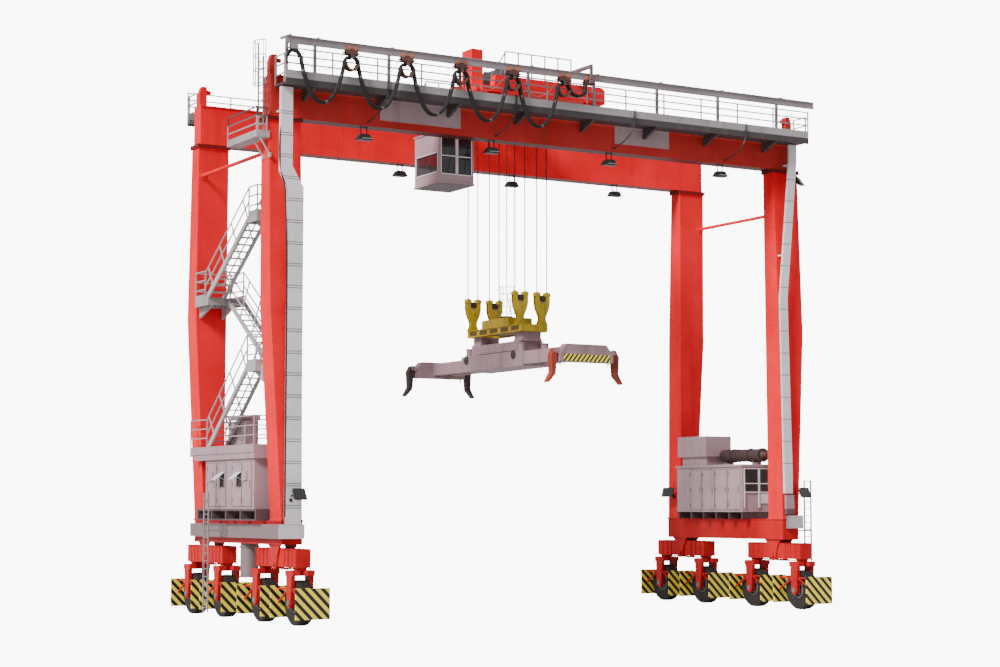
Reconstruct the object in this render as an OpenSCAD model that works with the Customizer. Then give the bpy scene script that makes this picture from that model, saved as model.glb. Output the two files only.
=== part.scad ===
// Rubber tyred gantry crane for stacking shipping containers.
// Millimetres. Origin on the ground at the middle of the crane, X along the girders,
// Y to the rear along the travel lane, Z up.

/* [Portal] */
// Distance between the two sill beams, centre to centre
span = 23470; // [20000:10:27000]
// Distance between the front and the rear girder, centre to centre
girder_gauge = 6940; // [6600:10:7600]
// How far a girder runs past the middle of a sill beam
girder_over = 835; // [780:5:2500]
// Width of each girder
girder_w = 700; // [600:10:900]
// Height of each girder
girder_h = 1600; // [1200:10:2000]
// Underside of the girders above the ground
girder_z = 19050; // [17500:10:21000]
// Thickness of the bolted flange between leg and girder
joint_plate = 90; // [40:5:140]

/* [Legs] */
// How far the leg's inner face stands inside the sill's centre
leg_in = 405; // [300:5:500]
// How far the leg's outer face stands outside the sill's centre, above the knee
leg_out_top = 900; // [700:5:1100]
// How far the leg's outer face stands outside the sill's centre, at its foot
leg_out_foot = 430; // [350:5:600]
// Height of the knee where the outer face starts to taper
knee_z = 11900; // [9000:10:14000]
// Depth of a leg at the girder
leg_depth_top = 720; // [600:10:900]
// Depth of a leg at the knee
leg_depth_knee = 940; // [800:10:1100]
// Depth of a leg at its foot
leg_depth_foot = 1000; // [850:10:1200]

/* [Sill beams] */
// Underside of the sill beams above the ground
sill_z = 2950; // [2850:10:3300]
// Height of a sill beam
sill_h = 880; // [700:10:1100]
// Width of a sill beam
sill_w = 840; // [700:10:1000]
// Length of a sill beam
sill_len = 8480; // [8300:10:9200]

/* [Wheels] */
// Diameter of the tyres
tyre_d = 1680; // [1500:10:1700]
// Width of the tyres
tyre_w = 520; // [420:10:560]
// Distance between the two wheels of one bogie
wheel_pitch = 3100; // [2950:10:3300]
// Distance between the bogie pins of one side
bogie_gauge = 6850; // [6700:10:7200]
// Diameter of the wheel axle
axle_d = 150; // [100:5:200]
// Diameter of the bogie's rocking pin
rock_pin_d = 180; // [120:5:240]

/* [Wheel guards] */
// Width of a guard board across the tyre
guard_w = 1360; // [1100:10:1500]
// Height of a guard board
guard_h = 1130; // [900:10:1200]
// Thickness of a guard board
guard_t = 60; // [30:5:90]
// Gap between the tyre and the guard board
guard_gap = 230; // [150:5:260]

/* [Trolley] */
// Where the trolley stands along the girders
trolley_x = 60; // [-500:10:500]
// Length of the trolley frame along the girders
trolley_len = 5900; // [5200:10:6800]
// Height of the trolley's side beams
trolley_beam_h = 700; // [500:10:900]
// Diameter of the trolley wheels
trolley_wheel_d = 560; // [450:10:700]
// Width of the cab along the girders
cab_w = 1600; // [1400:10:1800]
// Depth of the cab across the girders
cab_d = 2050; // [1800:10:2200]
// Height of the cab
cab_h = 2150; // [1900:10:2300]
// How far the cab's floor hangs below the trolley frame
cab_drop = 3740; // [3500:10:4000]

/* [Spreader] */
// Height of the container lock seats above the ground as drawn
lock_z = 9980; // [9000:10:12000]
// Distance between the locks across the spreader
lock_gauge = 2259; // [2250:1:2270]
// Distance between the locks along the spreader, forty foot setting
lock_base = 11985; // [11900:5:12100]
// Diameter of the locks' round shanks
lock_d = 52; // [40:1:60]
// Length of the spreader's main frame
main_len = 5100; // [4800:10:5400]
// Width of the spreader's main frame
main_w = 1520; // [1400:10:1700]
// Height of the telescopic arms
arm_h = 520; // [400:10:600]
// Width of one telescopic arm
arm_w = 320; // [260:10:340]
// Length of the corner guide arms
flipper_len = 1250; // [900:10:1500]

/* [Head block] */
// Length of the head block
head_len = 4480; // [4200:10:4900]
// Width of the head block
head_w = 1280; // [1200:10:1400]
// Underside of the head block above the ground
head_z = 11560; // [11450:10:12500]
// Diameter of the hoist ropes
rope_d = 32; // [24:1:44]
// Diameter of the rope sheaves where the rope lies
sheave_d = 480; // [400:10:520]

/* [Walkways and festoon] */
// Width of the walkways beside the girders
walk_w = 1090; // [900:10:1300]
// Height of the handrails above a deck
rail_h = 1100; // [950:10:1200]
// Underside of the festoon track above the girders
track_over = 950; // [750:10:1350]
// Distance between two festoon posts
post_pitch = 3140; // [2800:10:3400]
// Diameter of the festoon cable bundle
festoon_d = 110; // [80:5:130]

/* [Stairs] */
// Height of the electric house's roof deck above the sill beam
house_h = 2880; // [2700:10:3200]
// Rise of the lowest stair flight
rise_1 = 3040; // [2700:10:3200]
// Rise of the middle stair flight
rise_2 = 2900; // [2700:10:3200]
// Rise of the upper stair flight
rise_3 = 2800; // [2600:10:3000]
// Width of a stair flight
flight_w = 780; // [650:10:850]
// Thickness of stair treads
tread_t = 40; // [20:5:60]
// Size of the square railing bars
bar = 45; // [30:1:60]
// Running gap at pins, rings, rails and wear pads
run_gap = 0.3; // [0.2:0.1:1]

/* [Hidden] */
SIDES = [-1, 1];
sill_x = span / 2;
sill_top = sill_z + sill_h;
girder_y = girder_gauge / 2;
girder_top = girder_z + girder_h;
girder_len = span + 2 * girder_over;
girder_end = girder_len / 2;
leg_face_top = girder_y - leg_depth_top / 2;
leg_head = girder_z - joint_plate;
bogie_y = bogie_gauge / 2;
tyre_r = tyre_d / 2;
cut = 1;

// Slewing ring and fork
bogie_z = 2130;
bogie_h = 680;
bogie_w = 560;
bogie_len = wheel_pitch + 560;
slew_gap = run_gap;
ring_h = 40;
slew_h = 60;
slew_r = 270;
fork_leg = 150;
fork_gap = 40;
fork_crown_h = 200;
fork_crown_z = bogie_z - ring_h - slew_h;
fork_in = tyre_w / 2 + fork_gap;
guard_y = tyre_r + guard_gap;
guard_z = 280;
rock_gap = 8;
rock_z = bogie_z + 110;
cheek_t = 60;
cheek_top = 1100;
cheek_foot = 400;
hub_d = 380;
wheel_y = [bogie_y + wheel_pitch / 2, bogie_y - wheel_pitch / 2,
    -bogie_y + wheel_pitch / 2, -bogie_y - wheel_pitch / 2];

// Walkways
deck_t = 60;
deck_z = girder_z + 1100;
walk_edge = girder_y + girder_w / 2 + walk_w;
fascia_h = 560;
walk_end = girder_end - 120;
track_y = walk_edge + 220;
track_z = girder_top + track_over;
track_h = 290;
track_end = girder_end - 20;
post_count = floor((2 * track_end - 1500) / post_pitch) + 1;
first_post = -track_end + 1330;
post_y = walk_edge - 50;
tow_x = trolley_x + 820;
clamp_x = -track_end + 312.5;
carrier_pitch = (tow_x - clamp_x) / 5.5;
festoon_drop = 1600;
loop_r = 290;
saddle_z = track_z - 520;
short_drop = 160;
track_flange = 130;
track_web = 16;
track_plate = 24;
roller_d = 110;
tow_cable_x = tow_x - 180;
tow_pin_y = track_y + 230;

// Trolley
rail_t = 60;
rail_top = girder_top + rail_t;
trolley_z = rail_top + 330;
trolley_half = trolley_len / 2;
frame_x = -365;
trolley_deck_z = trolley_z + trolley_beam_h;
trolley_wheel_x = trolley_half - 650;
cab_z = trolley_z - cab_drop;
cab_x = trolley_x - 4740;
cab_y = -2650;
hanger_h = 240;
hanger_w = 160;
rope_top_z = trolley_z + 60;
fall_y = 1950;
block_x = 530;

// Spreader
arm_z = lock_z + 190;
main_z = arm_z - 60;
main_h = arm_h + 120;
end_beam_w = lock_gauge + 240;
end_beam_d = 420;
end_y = lock_base / 2;
slide_gap = 6;
pad_len = 160;
lane = main_w / 4;
tail_in = main_len / 2 - 900;
head_h = 300;
block_z = head_z + head_h;
sheave_z = block_z + 740;
guard_top = block_z + 1380;
head_box_h = 360;
main_top = main_z + main_h;
upper_h = 380;
flipper_x = end_beam_w / 2 + 135;
flipper_y = end_y - 40;
flipper_w = 300;
flipper_pin = 60;
lug_t = 40;
flipper_z = arm_z + 290;

casing_t = 200;

// Stairs between the left legs, as distances from the left sill's centre
stair_out = -1010;
stair_mid = stair_out + flight_w;
stair_in = stair_mid + 40 + flight_w - 60;
house_deck_z = sill_top + house_h;
front_landing_z = house_deck_z + rise_1;
rear_landing_z = front_landing_z + rise_2;
top_landing_z = rear_landing_z + rise_3;
platform_z = leg_head - 760;
landing_y = 3040;
front_edge = 2200;
rear_edge = 1660;
foot_in = 290;
toe_h = 150;
reach = 1445;
landing_skirt = 300;

// A block from its low corner to its high corner
module block(a, b) {
    translate(a)
        cube([b[0] - a[0], b[1] - a[1], b[2] - a[2]]);
}

// A round bar along X, Y or Z, centred on the other two axes
module bar_x(x0, x1, y, z, d) {
    translate([x0, y, z])
        rotate([0, 90, 0])
            cylinder(h = x1 - x0, d = d);
}

module bar_y(x, y0, y1, z, d) {
    translate([x, y0, z])
        rotate([-90, 0, 0])
            cylinder(h = y1 - y0, d = d);
}

module bar_z(x, y, z0, z1, d) {
    translate([x, y, z0])
        cylinder(h = z1 - z0, d = d);
}

// A straight square bar between two points that share an X
module slope_bar(x, p, q, w, h) {
    translate([x - w / 2, 0, 0])
        rotate([90, 0, 90])
            linear_extrude(w)
                polygon([[p[0], p[1] - h], [q[0], q[1] - h], [q[0], q[1]], [p[0], p[1]]]);
}

// A railing along Y at x, with posts near every 1.9 m and three rails
module railing_y(x, y0, y1, z, h = rail_h) {
    bays = max(1, round((y1 - y0 - bar) / 1900));
    for (i = [0:bays])
        translate([x - bar / 2, y0 + i * (y1 - y0 - bar) / bays, z])
            cube([bar, bar, h]);
    for (k = [1:3])
        translate([x - bar / 2, y0, z + k * h / 3 - bar])
            cube([bar, y1 - y0, bar]);
}

module railing_x(y, x0, x1, z, h = rail_h) {
    bays = max(1, round((x1 - x0 - bar) / 1900));
    for (i = [0:bays])
        translate([x0 + i * (x1 - x0 - bar) / bays, y - bar / 2, z])
            cube([bar, bar, h]);
    for (k = [1:3])
        translate([x0, y - bar / 2, z + k * h / 3 - bar])
            cube([x1 - x0, bar, bar]);
}

// Sill beam: a box girder with plates over both ends and the two saddles of its bogies
module sill(side) {
    color("crimson")
        difference() {
            union() {
                translate([side * sill_x - sill_w / 2, -sill_len / 2, sill_z])
                    cube([sill_w, sill_len, sill_h]);
                translate([side * sill_x - sill_w / 2 - 30, -sill_len / 2 - 15, sill_top - 40])
                    cube([sill_w + 60, sill_len + 30, 40]);
                for (s = SIDES)
                    translate([side * sill_x, s * bogie_y, 0])
                        saddle();
            }
            for (s = SIDES)
                bar_x(side * sill_x - sill_w, side * sill_x + sill_w, s * bogie_y, rock_z, rock_pin_d);
        }
}

// The two cheeks that hang from the sill on both sides of the bogie beam
module saddle() {
    cheek_in = bogie_w / 2 + rock_gap;
    for (s = SIDES)
        translate([s * (cheek_in + cheek_t / 2) - cheek_t / 2, 0, 0])
            rotate([90, 0, 90])
                linear_extrude(cheek_t) {
                    polygon([[-cheek_top / 2, sill_z + cut], [cheek_top / 2, sill_z + cut],
                        [cheek_top / 2 - 130, sill_z - 110], [cheek_foot / 2 + 60, sill_z - 420],
                        [cheek_foot / 2, rock_z], [-cheek_foot / 2, rock_z],
                        [-cheek_foot / 2 - 60, sill_z - 420], [-cheek_top / 2 + 130, sill_z - 110]]);
                    translate([0, rock_z])
                        circle(d = cheek_foot);
                }
}

// Leg profile seen from the front, from the inner face to the outer one
module leg_front_profile() {
    polygon([[-leg_in, sill_top], [leg_out_foot, sill_top],
        [leg_out_top, knee_z], [leg_out_top, leg_head], [-leg_in, leg_head]]);
}

// Leg profile seen from the side: the outer face leans out, the inner one stands nearly plumb
module leg_side_profile() {
    y_top = leg_face_top;
    y_foot = y_top + 120;
    polygon([[y_foot, sill_top], [y_foot + leg_depth_foot, sill_top],
        [y_top + 60 + leg_depth_knee, knee_z], [y_top + leg_depth_top, leg_head],
        [y_top, leg_head]]);
}

module leg(side, s) {
    color("red")
        mirror([side < 0 ? 1 : 0, 0, 0])
            mirror([0, s < 0 ? 1 : 0, 0])
                translate([sill_x, 0, 0]) {
                    intersection() {
                        translate([0, girder_gauge, 0])
                            rotate([90, 0, 0])
                                linear_extrude(girder_gauge)
                                    leg_front_profile();
                        translate([-leg_out_top * 2, 0, 0])
                            rotate([90, 0, 90])
                                linear_extrude(leg_out_top * 4)
                                    leg_side_profile();
                    }
                    translate([-leg_in - 60, leg_face_top - 60, leg_head - 50])
                        cube([leg_in + leg_out_top + 120, leg_depth_top + 120, 50]);
                    translate([-leg_in - 30, leg_face_top + 80, sill_top])
                        cube([leg_in + leg_out_foot + 60, leg_depth_foot + 80, 50]);
                }
}

// Girder: box beam with a flange plate over each leg, a rail on top and an end stop
module girder(s) {
    color("red") {
        translate([-girder_end, s * girder_y - girder_w / 2, girder_z])
            cube([girder_len, girder_w, girder_h]);
        translate([-girder_end, s * girder_y - girder_w / 2 - 40, girder_top - 40])
            cube([girder_len, girder_w + 80, 40]);
        for (side = SIDES) {
            x0 = side < 0 ? -sill_x - leg_out_top - 60 : sill_x - leg_in - 60;
            translate([x0, s * girder_y - leg_depth_top / 2 - 60, leg_head])
                cube([leg_in + leg_out_top + 120, leg_depth_top + 120, joint_plate]);
        }
        translate([-girder_end + 400, s * girder_y - 35, girder_top])
            cube([girder_len - 800, 70, rail_t]);
        for (side = SIDES)
            translate([side * (girder_end - 190), s * girder_y, girder_top + run_gap])
                end_stop(side);
    }
}

// Bolted end stop with the rubber buffer that the trolley runs up to
module end_stop(side) {
    rotate([90, 0, 0])
        translate([0, 0, -150])
            linear_extrude(300)
                polygon([[-side * 150, 0], [side * 150, 0], [side * 150, 560], [side * 60, 820],
                    [-side * 150, 820]]);
    translate([side < 0 ? 149 : -350, 0, 620])
        rotate([0, 90, 0])
            cylinder(h = 201, d = 170);
}

// How far a leg's inner face stands from the middle at a height
function leg_inner_y(z) = leg_face_top + 120 * (leg_head - z) / (leg_head - sill_top);

// How far its outer face stands from the middle
function leg_outer_y(z) = z > knee_z
    ? leg_face_top + leg_depth_top
        + (60 + leg_depth_knee - leg_depth_top) * (leg_head - z) / (leg_head - knee_z)
    : leg_face_top + 60 + leg_depth_knee
        + (60 + leg_depth_foot - leg_depth_knee) * (knee_z - z) / (knee_z - sill_top);

// Tie pipes between the front and the rear legs under the girders
module leg_ties() {
    color("crimson")
        for (side = SIDES) {
            z = leg_head - (side < 0 ? 1210 : 1660);
            y_in = leg_inner_y(z + 165) - run_gap;
            translate([side * (sill_x + leg_out_top - 170), 0, z]) {
                bar_y(0, -y_in, y_in, 0, 150);
                for (s = SIDES)
                    bar_y(0, s < 0 ? -y_in : y_in - 30, s < 0 ? -y_in + 30 : y_in, 0, 330);
            }
        }
}

// Walkway beside one girder: deck plate, deep fascia and cantilever brackets
module walkway(s) {
    y_in = girder_y + girder_w / 2 + 40;
    mirror([0, s < 0 ? 1 : 0, 0]) {
        block([-walk_end, y_in, deck_z], [walk_end, walk_edge - 40 - run_gap, deck_z + deck_t]);
        block([-walk_end, walk_edge - 40, deck_z - 60], [walk_end, walk_edge, deck_z + fascia_h - 60]);
        for (i = [0:post_count - 1])
            translate([first_post + i * post_pitch - 60, 0, 0])
                rotate([90, 0, 90])
                    linear_extrude(120)
                        polygon([[y_in - 40, deck_z - 420], [y_in + 60, deck_z - 420],
                            [walk_edge - 40 - run_gap, deck_z - 60], [walk_edge - 40 - run_gap, deck_z - run_gap],
                            [y_in - 40, deck_z - run_gap]]);
    }
}

module walkways() {
    color("darkgray")
        for (s = SIDES)
            walkway(s);
}

module walkway_railings() {
    z = deck_z + fascia_h - 60;
    color("silver")
        for (s = SIDES) {
            railing_x(s * (walk_edge - 20), -walk_end, walk_end, z, rail_h - 250);
            for (side = SIDES)
                mirror([0, s < 0 ? 1 : 0, 0])
                    railing_y(side * (walk_end - bar / 2), girder_y + girder_w / 2 + 60, post_y - 110,
                        deck_z + deck_t, rail_h);
        }
}

// Festoon track: an I-beam that hangs outside the walkway from tapered arms on posts
module festoon_track() {
    color("gray") {
        translate([-track_end, -track_y - track_flange / 2, track_z])
            cube([2 * track_end, track_flange, track_plate]);
        translate([-track_end, -track_y - track_web / 2, track_z])
            cube([2 * track_end, track_web, track_h]);
        translate([-track_end, -track_y - track_flange / 2, track_z + track_h - track_plate])
            cube([2 * track_end, track_flange, track_plate]);
        festoon_post(-walk_end + 60);
        for (i = [0:post_count - 1])
            festoon_post(first_post + i * post_pitch);
    }
    color("firebrick")
        translate([clamp_x, -track_y, 0]) {
            cable_saddle();
            for (s = SIDES)
                block([-150, s * 65 - 15, saddle_z + loop_r - 60], [150, s * 65 + 15, track_z - run_gap]);
        }
}

module festoon_post(x) {
    top = track_z + track_h;
    translate([x, 0, 0]) {
        block([-50, -post_y, deck_z + deck_t], [50, -post_y + 100, top]);
        translate([-40, 0, 0])
            rotate([90, 0, 90])
                linear_extrude(80)
                    polygon([[-post_y + 560, top + run_gap], [-track_y - 60, top + run_gap],
                        [-track_y - 60, top + 40], [-post_y + 560, top + 110]]);
    }
}

// Round saddle with the stretch of cable that is strapped over it
module cable_saddle() {
    inner = loop_r - festoon_d / 2;
    translate([0, 0, saddle_z])
        rotate([90, 0, 0]) {
            rotate_extrude(angle = 180)
                translate([loop_r, 0])
                    circle(d = festoon_d, $fn = 32);
            translate([0, 0, -80])
                rotate_extrude(angle = 180)
                    translate([inner - 30, 0])
                        square([34, 160]);
        }
    for (s = SIDES)
        block([-70, s * 70 - 8, saddle_z + inner - 28],
            [70, s * 70 + 8, saddle_z + loop_r + festoon_d / 2 + 20]);
}

// Carrier that runs in the track on four rollers and holds the cable on its saddle
module festoon_carrier(x) {
    color("firebrick")
        translate([x, -track_y, 0]) {
            carrier_frame(500);
            cable_saddle();
        }
}

module carrier_frame(w) {
    axle_z = track_z + track_plate + run_gap + roller_d / 2;
    under = saddle_z + loop_r + festoon_d / 2 + 10;
    plate_y = track_flange / 2 + 10;
    block([-w / 2, -plate_y - 20, under], [w / 2, plate_y + 20, under + 25]);
    for (s = SIDES) {
        block([-w / 2, s * (plate_y + 10) - 10, under], [w / 2, s * (plate_y + 10) + 10, track_z + 60]);
        for (k = SIDES)
            translate([k * (w / 2 - 80), 0, axle_z])
                rotate([s * 90, 0, 0])
                    translate([0, 0, -plate_y - 20]) {
                        cylinder(h = 20, d = roller_d + 30);
                        cylinder(h = plate_y - 5, d = 40);
                        translate([0, 0, 40])
                            cylinder(h = 35, d = roller_d);
                    }
    }
}

// Last carriage, pulled along by the trolley's tow arm
module tow_carriage() {
    under = saddle_z + loop_r + festoon_d / 2 + 10;
    color("dimgray")
        translate([tow_x, -track_y, 0]) {
            carrier_frame(440);
            bar_z(tow_cable_x - tow_x, 0, saddle_z, under + 5, festoon_d);
            bar_y(0, -tow_pin_y + track_y, -80, track_z - 60, 50);
        }
}

// The festoon cable hangs in one loop between each two carriers
LOOP_ENDS = [for (k = [0:5]) [clamp_x + k * carrier_pitch + loop_r,
    k == 5 ? tow_cable_x : clamp_x + (k + 1) * carrier_pitch - loop_r]];
LOOP_STEPS = 12;
function loop_x(e, a) = (e[0] + e[1]) / 2 - (e[1] - e[0]) / 4 * (cos(a) + 1 - a / 90);
function loop_route(e, drop) = [for (i = [0:LOOP_STEPS])
    let (a = 180 * i / LOOP_STEPS) [loop_x(e, a), -track_y, saddle_z - run_gap - drop * sin(a)]];

// A round tube along points in one plane of constant Y, with level ends
module flat_tube(path, d, n = 8) {
    last = len(path) - 1;
    function way(i) = i == 0 ? [0, 0, -1] : i == last ? [0, 0, 1]
        : (path[i + 1] - path[i - 1]) / norm(path[i + 1] - path[i - 1]);
    function ring(i) = let (t = way(i)) [for (k = [0:n - 1])
        path[i] + d / 2 * (cos(360 * k / n) * [0, 1, 0] + sin(360 * k / n) * [t[2], 0, -t[0]])];
    points = [for (i = [0:last]) each ring(i)];
    sides = [for (i = [0:last - 1]) for (k = [0:n - 1])
        each [[i * n + k, (i + 1) * n + k, (i + 1) * n + (k + 1) % n],
            [i * n + k, (i + 1) * n + (k + 1) % n, i * n + (k + 1) % n]]];
    ends = [[for (k = [0:n - 1]) k], [for (k = [0:n - 1]) last * n + n - 1 - k]];
    polyhedron(points, concat(sides, ends));
}

module festoon_cable() {
    color("black")
        for (k = [0:5])
            flat_tube(loop_route(LOOP_ENDS[k], k == 5 ? short_drop : festoon_drop), festoon_d);
}

// Stair flight between two landings: two stringers and flat treads
module flight(x0, x1, low, high) {
    steps = round((high[1] - low[1]) / 240);
    run = (high[0] - low[0]) / steps;
    rise = (high[1] - low[1]) / steps;
    side_w = 60;
    lift = 60;
    depth = 280;
    drop = (depth - lift) / (high[1] - low[1]) * (high[0] - low[0]);
    for (x = [x0 + side_w / 2, x1 - side_w / 2]) {
        translate([x - side_w / 2, 0, 0])
            rotate([90, 0, 90])
                linear_extrude(side_w)
                    polygon([low, [low[0] + drop, low[1]], [high[0], high[1] + lift - depth],
                        high, [low[0], low[1] + lift]]);
        flight_rail(x, low, high);
    }
    for (i = [1:steps - 1])
        translate([x0 + side_w / 2, low[0] + i * run - 125, low[1] + i * rise - tread_t])
            cube([x1 - x0 - side_w, 250, tread_t]);
}

// Sloping handrail over one stringer: two rails on posts that stand square to the slope
module flight_rail(x, low, high) {
    way = (high - low) / norm(high - low);
    lean = [-way[1] * sign(way[0]), abs(way[0])];
    top = rail_h - 200;
    post_h = bar / way[1] * 0.85;
    for (h = [top / 2, top])
        slope_bar(x, [low[0], low[1] + h / abs(way[0])], [high[0], high[1] + h / abs(way[0])], bar, bar);
    for (t = [0.17, 0.44, 0.71, 0.98])
        slope_bar(x, low + t * (high - low) - [0, post_h / 2], low + t * (high - low) + top * lean,
            bar, post_h);
}

module stair_flights() {
    a = -sill_x + stair_out;
    m = -sill_x + stair_mid;
    b = -sill_x + stair_in;
    color("darkgray") {
        flight(a, m, [1600, house_deck_z], [-front_edge, front_landing_z]);
        flight(m + 40, b, [-front_edge - foot_in, front_landing_z], [rear_edge, rear_landing_z]);
        flight(a, m, [rear_edge + foot_in, rear_landing_z], [-front_edge, top_landing_z]);
    }
}

module landings() {
    color("darkgray") {
        stair_landing(-1, front_edge, front_landing_z, front_edge, front_edge + foot_in + 60);
        stair_landing(1, rear_edge, rear_landing_z, rear_edge + foot_in + 60, rear_edge);
        stair_landing(-1, front_edge, top_landing_z, front_edge, front_edge);
        railing_x(-front_edge - bar / 2, -sill_x + stair_mid + 40, -sill_x + stair_in - bar, top_landing_z);
        access_platform();
    }
}

// Landing on two brackets from a leg, with skirts, toe boards and railings
module stair_landing(s, edge, z, out_from, in_from) {
    a = -sill_x + stair_out;
    b = -sill_x + stair_in;
    y_leg = leg_inner_y(z) - run_gap;
    mirror([0, s < 0 ? 1 : 0, 0]) {
        block([a, edge, z - 60], [b, landing_y, z]);
        block([a, edge, z - landing_skirt], [b, edge + 40, z - 59]);
        for (x = [a, b - 40])
            block([x, edge, z - landing_skirt], [x + 40, landing_y, z - 59]);
        block([a, out_from, z - 1], [a + 40, landing_y, z + toe_h]);
        block([b - 40, in_from, z - 1], [b, landing_y, z + toe_h]);
        block([a, landing_y - 40, z - landing_skirt], [b, landing_y, z + toe_h]);
        railing_y(a + bar / 2, out_from, landing_y, z);
        railing_y(b - bar / 2, in_from, landing_y, z);
        railing_x(landing_y - bar / 2, a, b, z);
        for (x = [a + 240, b - 340])
            translate([x, 0, 0])
                rotate([90, 0, 90])
                    linear_extrude(100)
                        polygon([[edge + 30, z - 59], [edge + 30, z - 200], [y_leg, z - 720], [y_leg, z - 59]]);
    }
}

// Platform outside the front left leg
module access_platform() {
    x0 = -sill_x - reach;
    x1 = -sill_x - leg_out_top;
    y0 = -3900;
    y1 = -1100;
    block([x0, y0, platform_z], [x1, y1, platform_z + 60]);
    block([x0, y0, platform_z], [x0 + 40, y1, platform_z + 260]);
    block([x0, y0, platform_z], [x1, y0 + 40, platform_z + 260]);
    railing_y(x0 + bar / 2, y0, y1, platform_z + 200, rail_h - 140);
    railing_x(y0 + bar / 2, x0 + bar, x1 - 100, platform_z + 200, rail_h - 140);
}

// Electric house on the left sill: base frame, double doors, cornice, roof deck and cooling unit
module electric_house() {
    x = -sill_x;
    floor_z = sill_top + 440;
    wall_top = house_deck_z - 530;
    color("lightgray") {
        block([x - 870, -2720, floor_z], [x + 870, 2040, wall_top]);
        block([x - 960, -2890, wall_top], [x + 900, 3040, wall_top + 220]);
        block([x - 990, -2890, house_deck_z - 310], [x + 930, 3040, house_deck_z]);
        block([x - 990, 3039, house_deck_z - 370], [x - 950, 3430, house_deck_z]);
        for (y = [-2520, -1560, -40, 920])
            block([x - 895, y, floor_z + 90], [x - 869, y + 920, wall_top - 110]);
        for (y = [-2150, 1180])
            block([x - 960, y, floor_z + 1080], [x - 894, y + 420, floor_z + 1430]);
        cooling_unit(x);
    }
    color("dimgray") {
        block([x - 870, -2900, floor_z - 80], [x + 870, 2900, floor_z]);
        block([x - 870, -2900, sill_top], [x - 800, 2900, sill_top + 60]);
        for (i = [0:4])
            block([x - 870, -2900 + i * 1420, sill_top], [x + 870, -2780 + i * 1420, floor_z - 70]);
        railing_y(x - 990 + bar / 2, -2890, -150, house_deck_z);
        railing_y(x - 990 + bar / 2, 1680, 3430, house_deck_z);
        railing_x(-2890 + bar / 2, x - 990, x + 900, house_deck_z);
        railing_y(x + 930 - bar / 2, -2890, 3040, house_deck_z);
    }
}

// Cooling unit on the roof deck under its rain roof
module cooling_unit(x) {
    z = house_deck_z;
    block([x - 195, -300, z - 1], [x + 305, 1200, z + 990]);
    block([x - 205, -50, z + 1040], [x + 535, 1450, z + 1220]);
    for (px = [x - 195, x + 245])
        block([px, 0, z + 980], [px + 60, 60, z + 1050]);
    for (px = [x - 195, x + 465])
        block([px, 1330, z - 1], [px + 60, 1390, z + 1050]);
}

// Diesel power pack on the right sill: housing with a roof slab, radiator box and silencer
module power_pack() {
    x = sill_x;
    floor_z = sill_top + 290;
    roof_z = sill_top + 2340;
    color("lightgray") {
        block([x - 930, -2070, floor_z], [x + 870, 2790, roof_z]);
        block([x - 990, -2130, roof_z - 60], [x + 930, 2850, roof_z + 40]);
        for (y = [-1960, -1010, -60, 890])
            block([x - 955, y, floor_z + 100], [x - 929, y + 900, roof_z - 160]);
        for (px = [x - 820, x + 10])
            block([px, -2095, floor_z + 900], [px + 760, -2069, roof_z - 160]);
        block([x - 780, 720, roof_z], [x + 320, 2570, roof_z + 470]);
        block([x - 930, 560, roof_z + 440], [x + 470, 2730, roof_z + 1350]);
    }
    color("dimgray")
        for (i = [0:5])
            block([x - 900, -2050 + i * 940, sill_top], [x + 850, -1930 + i * 940, floor_z + 10]);
    exhaust(roof_z + 450);
}

// Silencer with its end rings and tail cone
module exhaust(z) {
    color("dimgray") {
        bar_y(sill_x + 60, -2300, 500, z, 560);
        for (y = [-2320, -1500, -300])
            bar_y(sill_x + 60, y, y + 60, z, 620);
        translate([sill_x + 60, -2300, z])
            rotate([90, 0, 0])
                cylinder(h = 320, r1 = 200, r2 = 90);
        for (y = [-1900, 100])
            block([sill_x - 160, y, z - 450], [sill_x + 280, y + 120, z - 200]);
    }
}

// Cable casings up the front legs, round the left sill, and the reel drum under it
module cable_casing() {
    x_sill = sill_x + sill_w / 2;
    front = leg_face_top + 120 + leg_depth_foot + 46;
    top = deck_z - 60;
    bend = leg_head - 2760;
    reel_z = guard_z + guard_h + 230;
    color("silver") {
        casing_plate(front, 180, [[-sill_x - 355, sill_top - 130], [-sill_x + 265, sill_top - 130],
            [-sill_x + 265, bend + 120], [-sill_x - 205, bend + 900], [-sill_x - 205, top],
            [-sill_x - 685, top], [-sill_x - 685, bend + 700], [-sill_x - 355, bend]]);
        for (z = [5200:2800:16400])
            block([-sill_x - 250, -front - 1, z], [-sill_x + 150, -leg_outer_y(z) - run_gap, z + 60]);
        casing_plate(front, 120, [[sill_x - 415, sill_top + 1700], [sill_x + 25, sill_top + 1700],
            [sill_x - 145, knee_z + 1400], [sill_x + 445, leg_head + 440], [sill_x + 445, top],
            [sill_x + 55, top], [sill_x + 55, leg_head + 440], [sill_x - 545, knee_z + 1400]]);
        for (z = [6200:3000:15300])
            block([sill_x - 330, -front - 1, z], [sill_x - 250, -leg_outer_y(z) - run_gap, z + 60]);
        for (s = SIDES)
            block([s * sill_x - (s < 0 ? 600 : -100), -front - 1, leg_head + 240],
                [s * sill_x - (s < 0 ? 300 : -300), -girder_y - girder_w / 2 - run_gap, leg_head + 300]);
    }
    color("gray") {
        block([-x_sill - casing_t, -sill_len / 2 - 200, sill_z + 220], [-x_sill, sill_len / 2, sill_top - 130]);
        block([-x_sill + run_gap, -sill_len / 2 - 200, sill_z + 220],
            [-sill_x + sill_w / 2, -sill_len / 2 - 15, sill_top - 130 - run_gap]);
        bar_z(-sill_x, -350, reel_z, sill_z, 700);
        for (z = [reel_z, sill_z - 160])
            bar_z(-sill_x, -350, z, z + 60, 780);
    }
}

// Flat casing whose front outline is given, in front of the legs
module casing_plate(front, depth, outline) {
    translate([0, -front, 0])
        rotate([90, 0, 0])
            linear_extrude(depth)
                polygon(outline);
}

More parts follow.
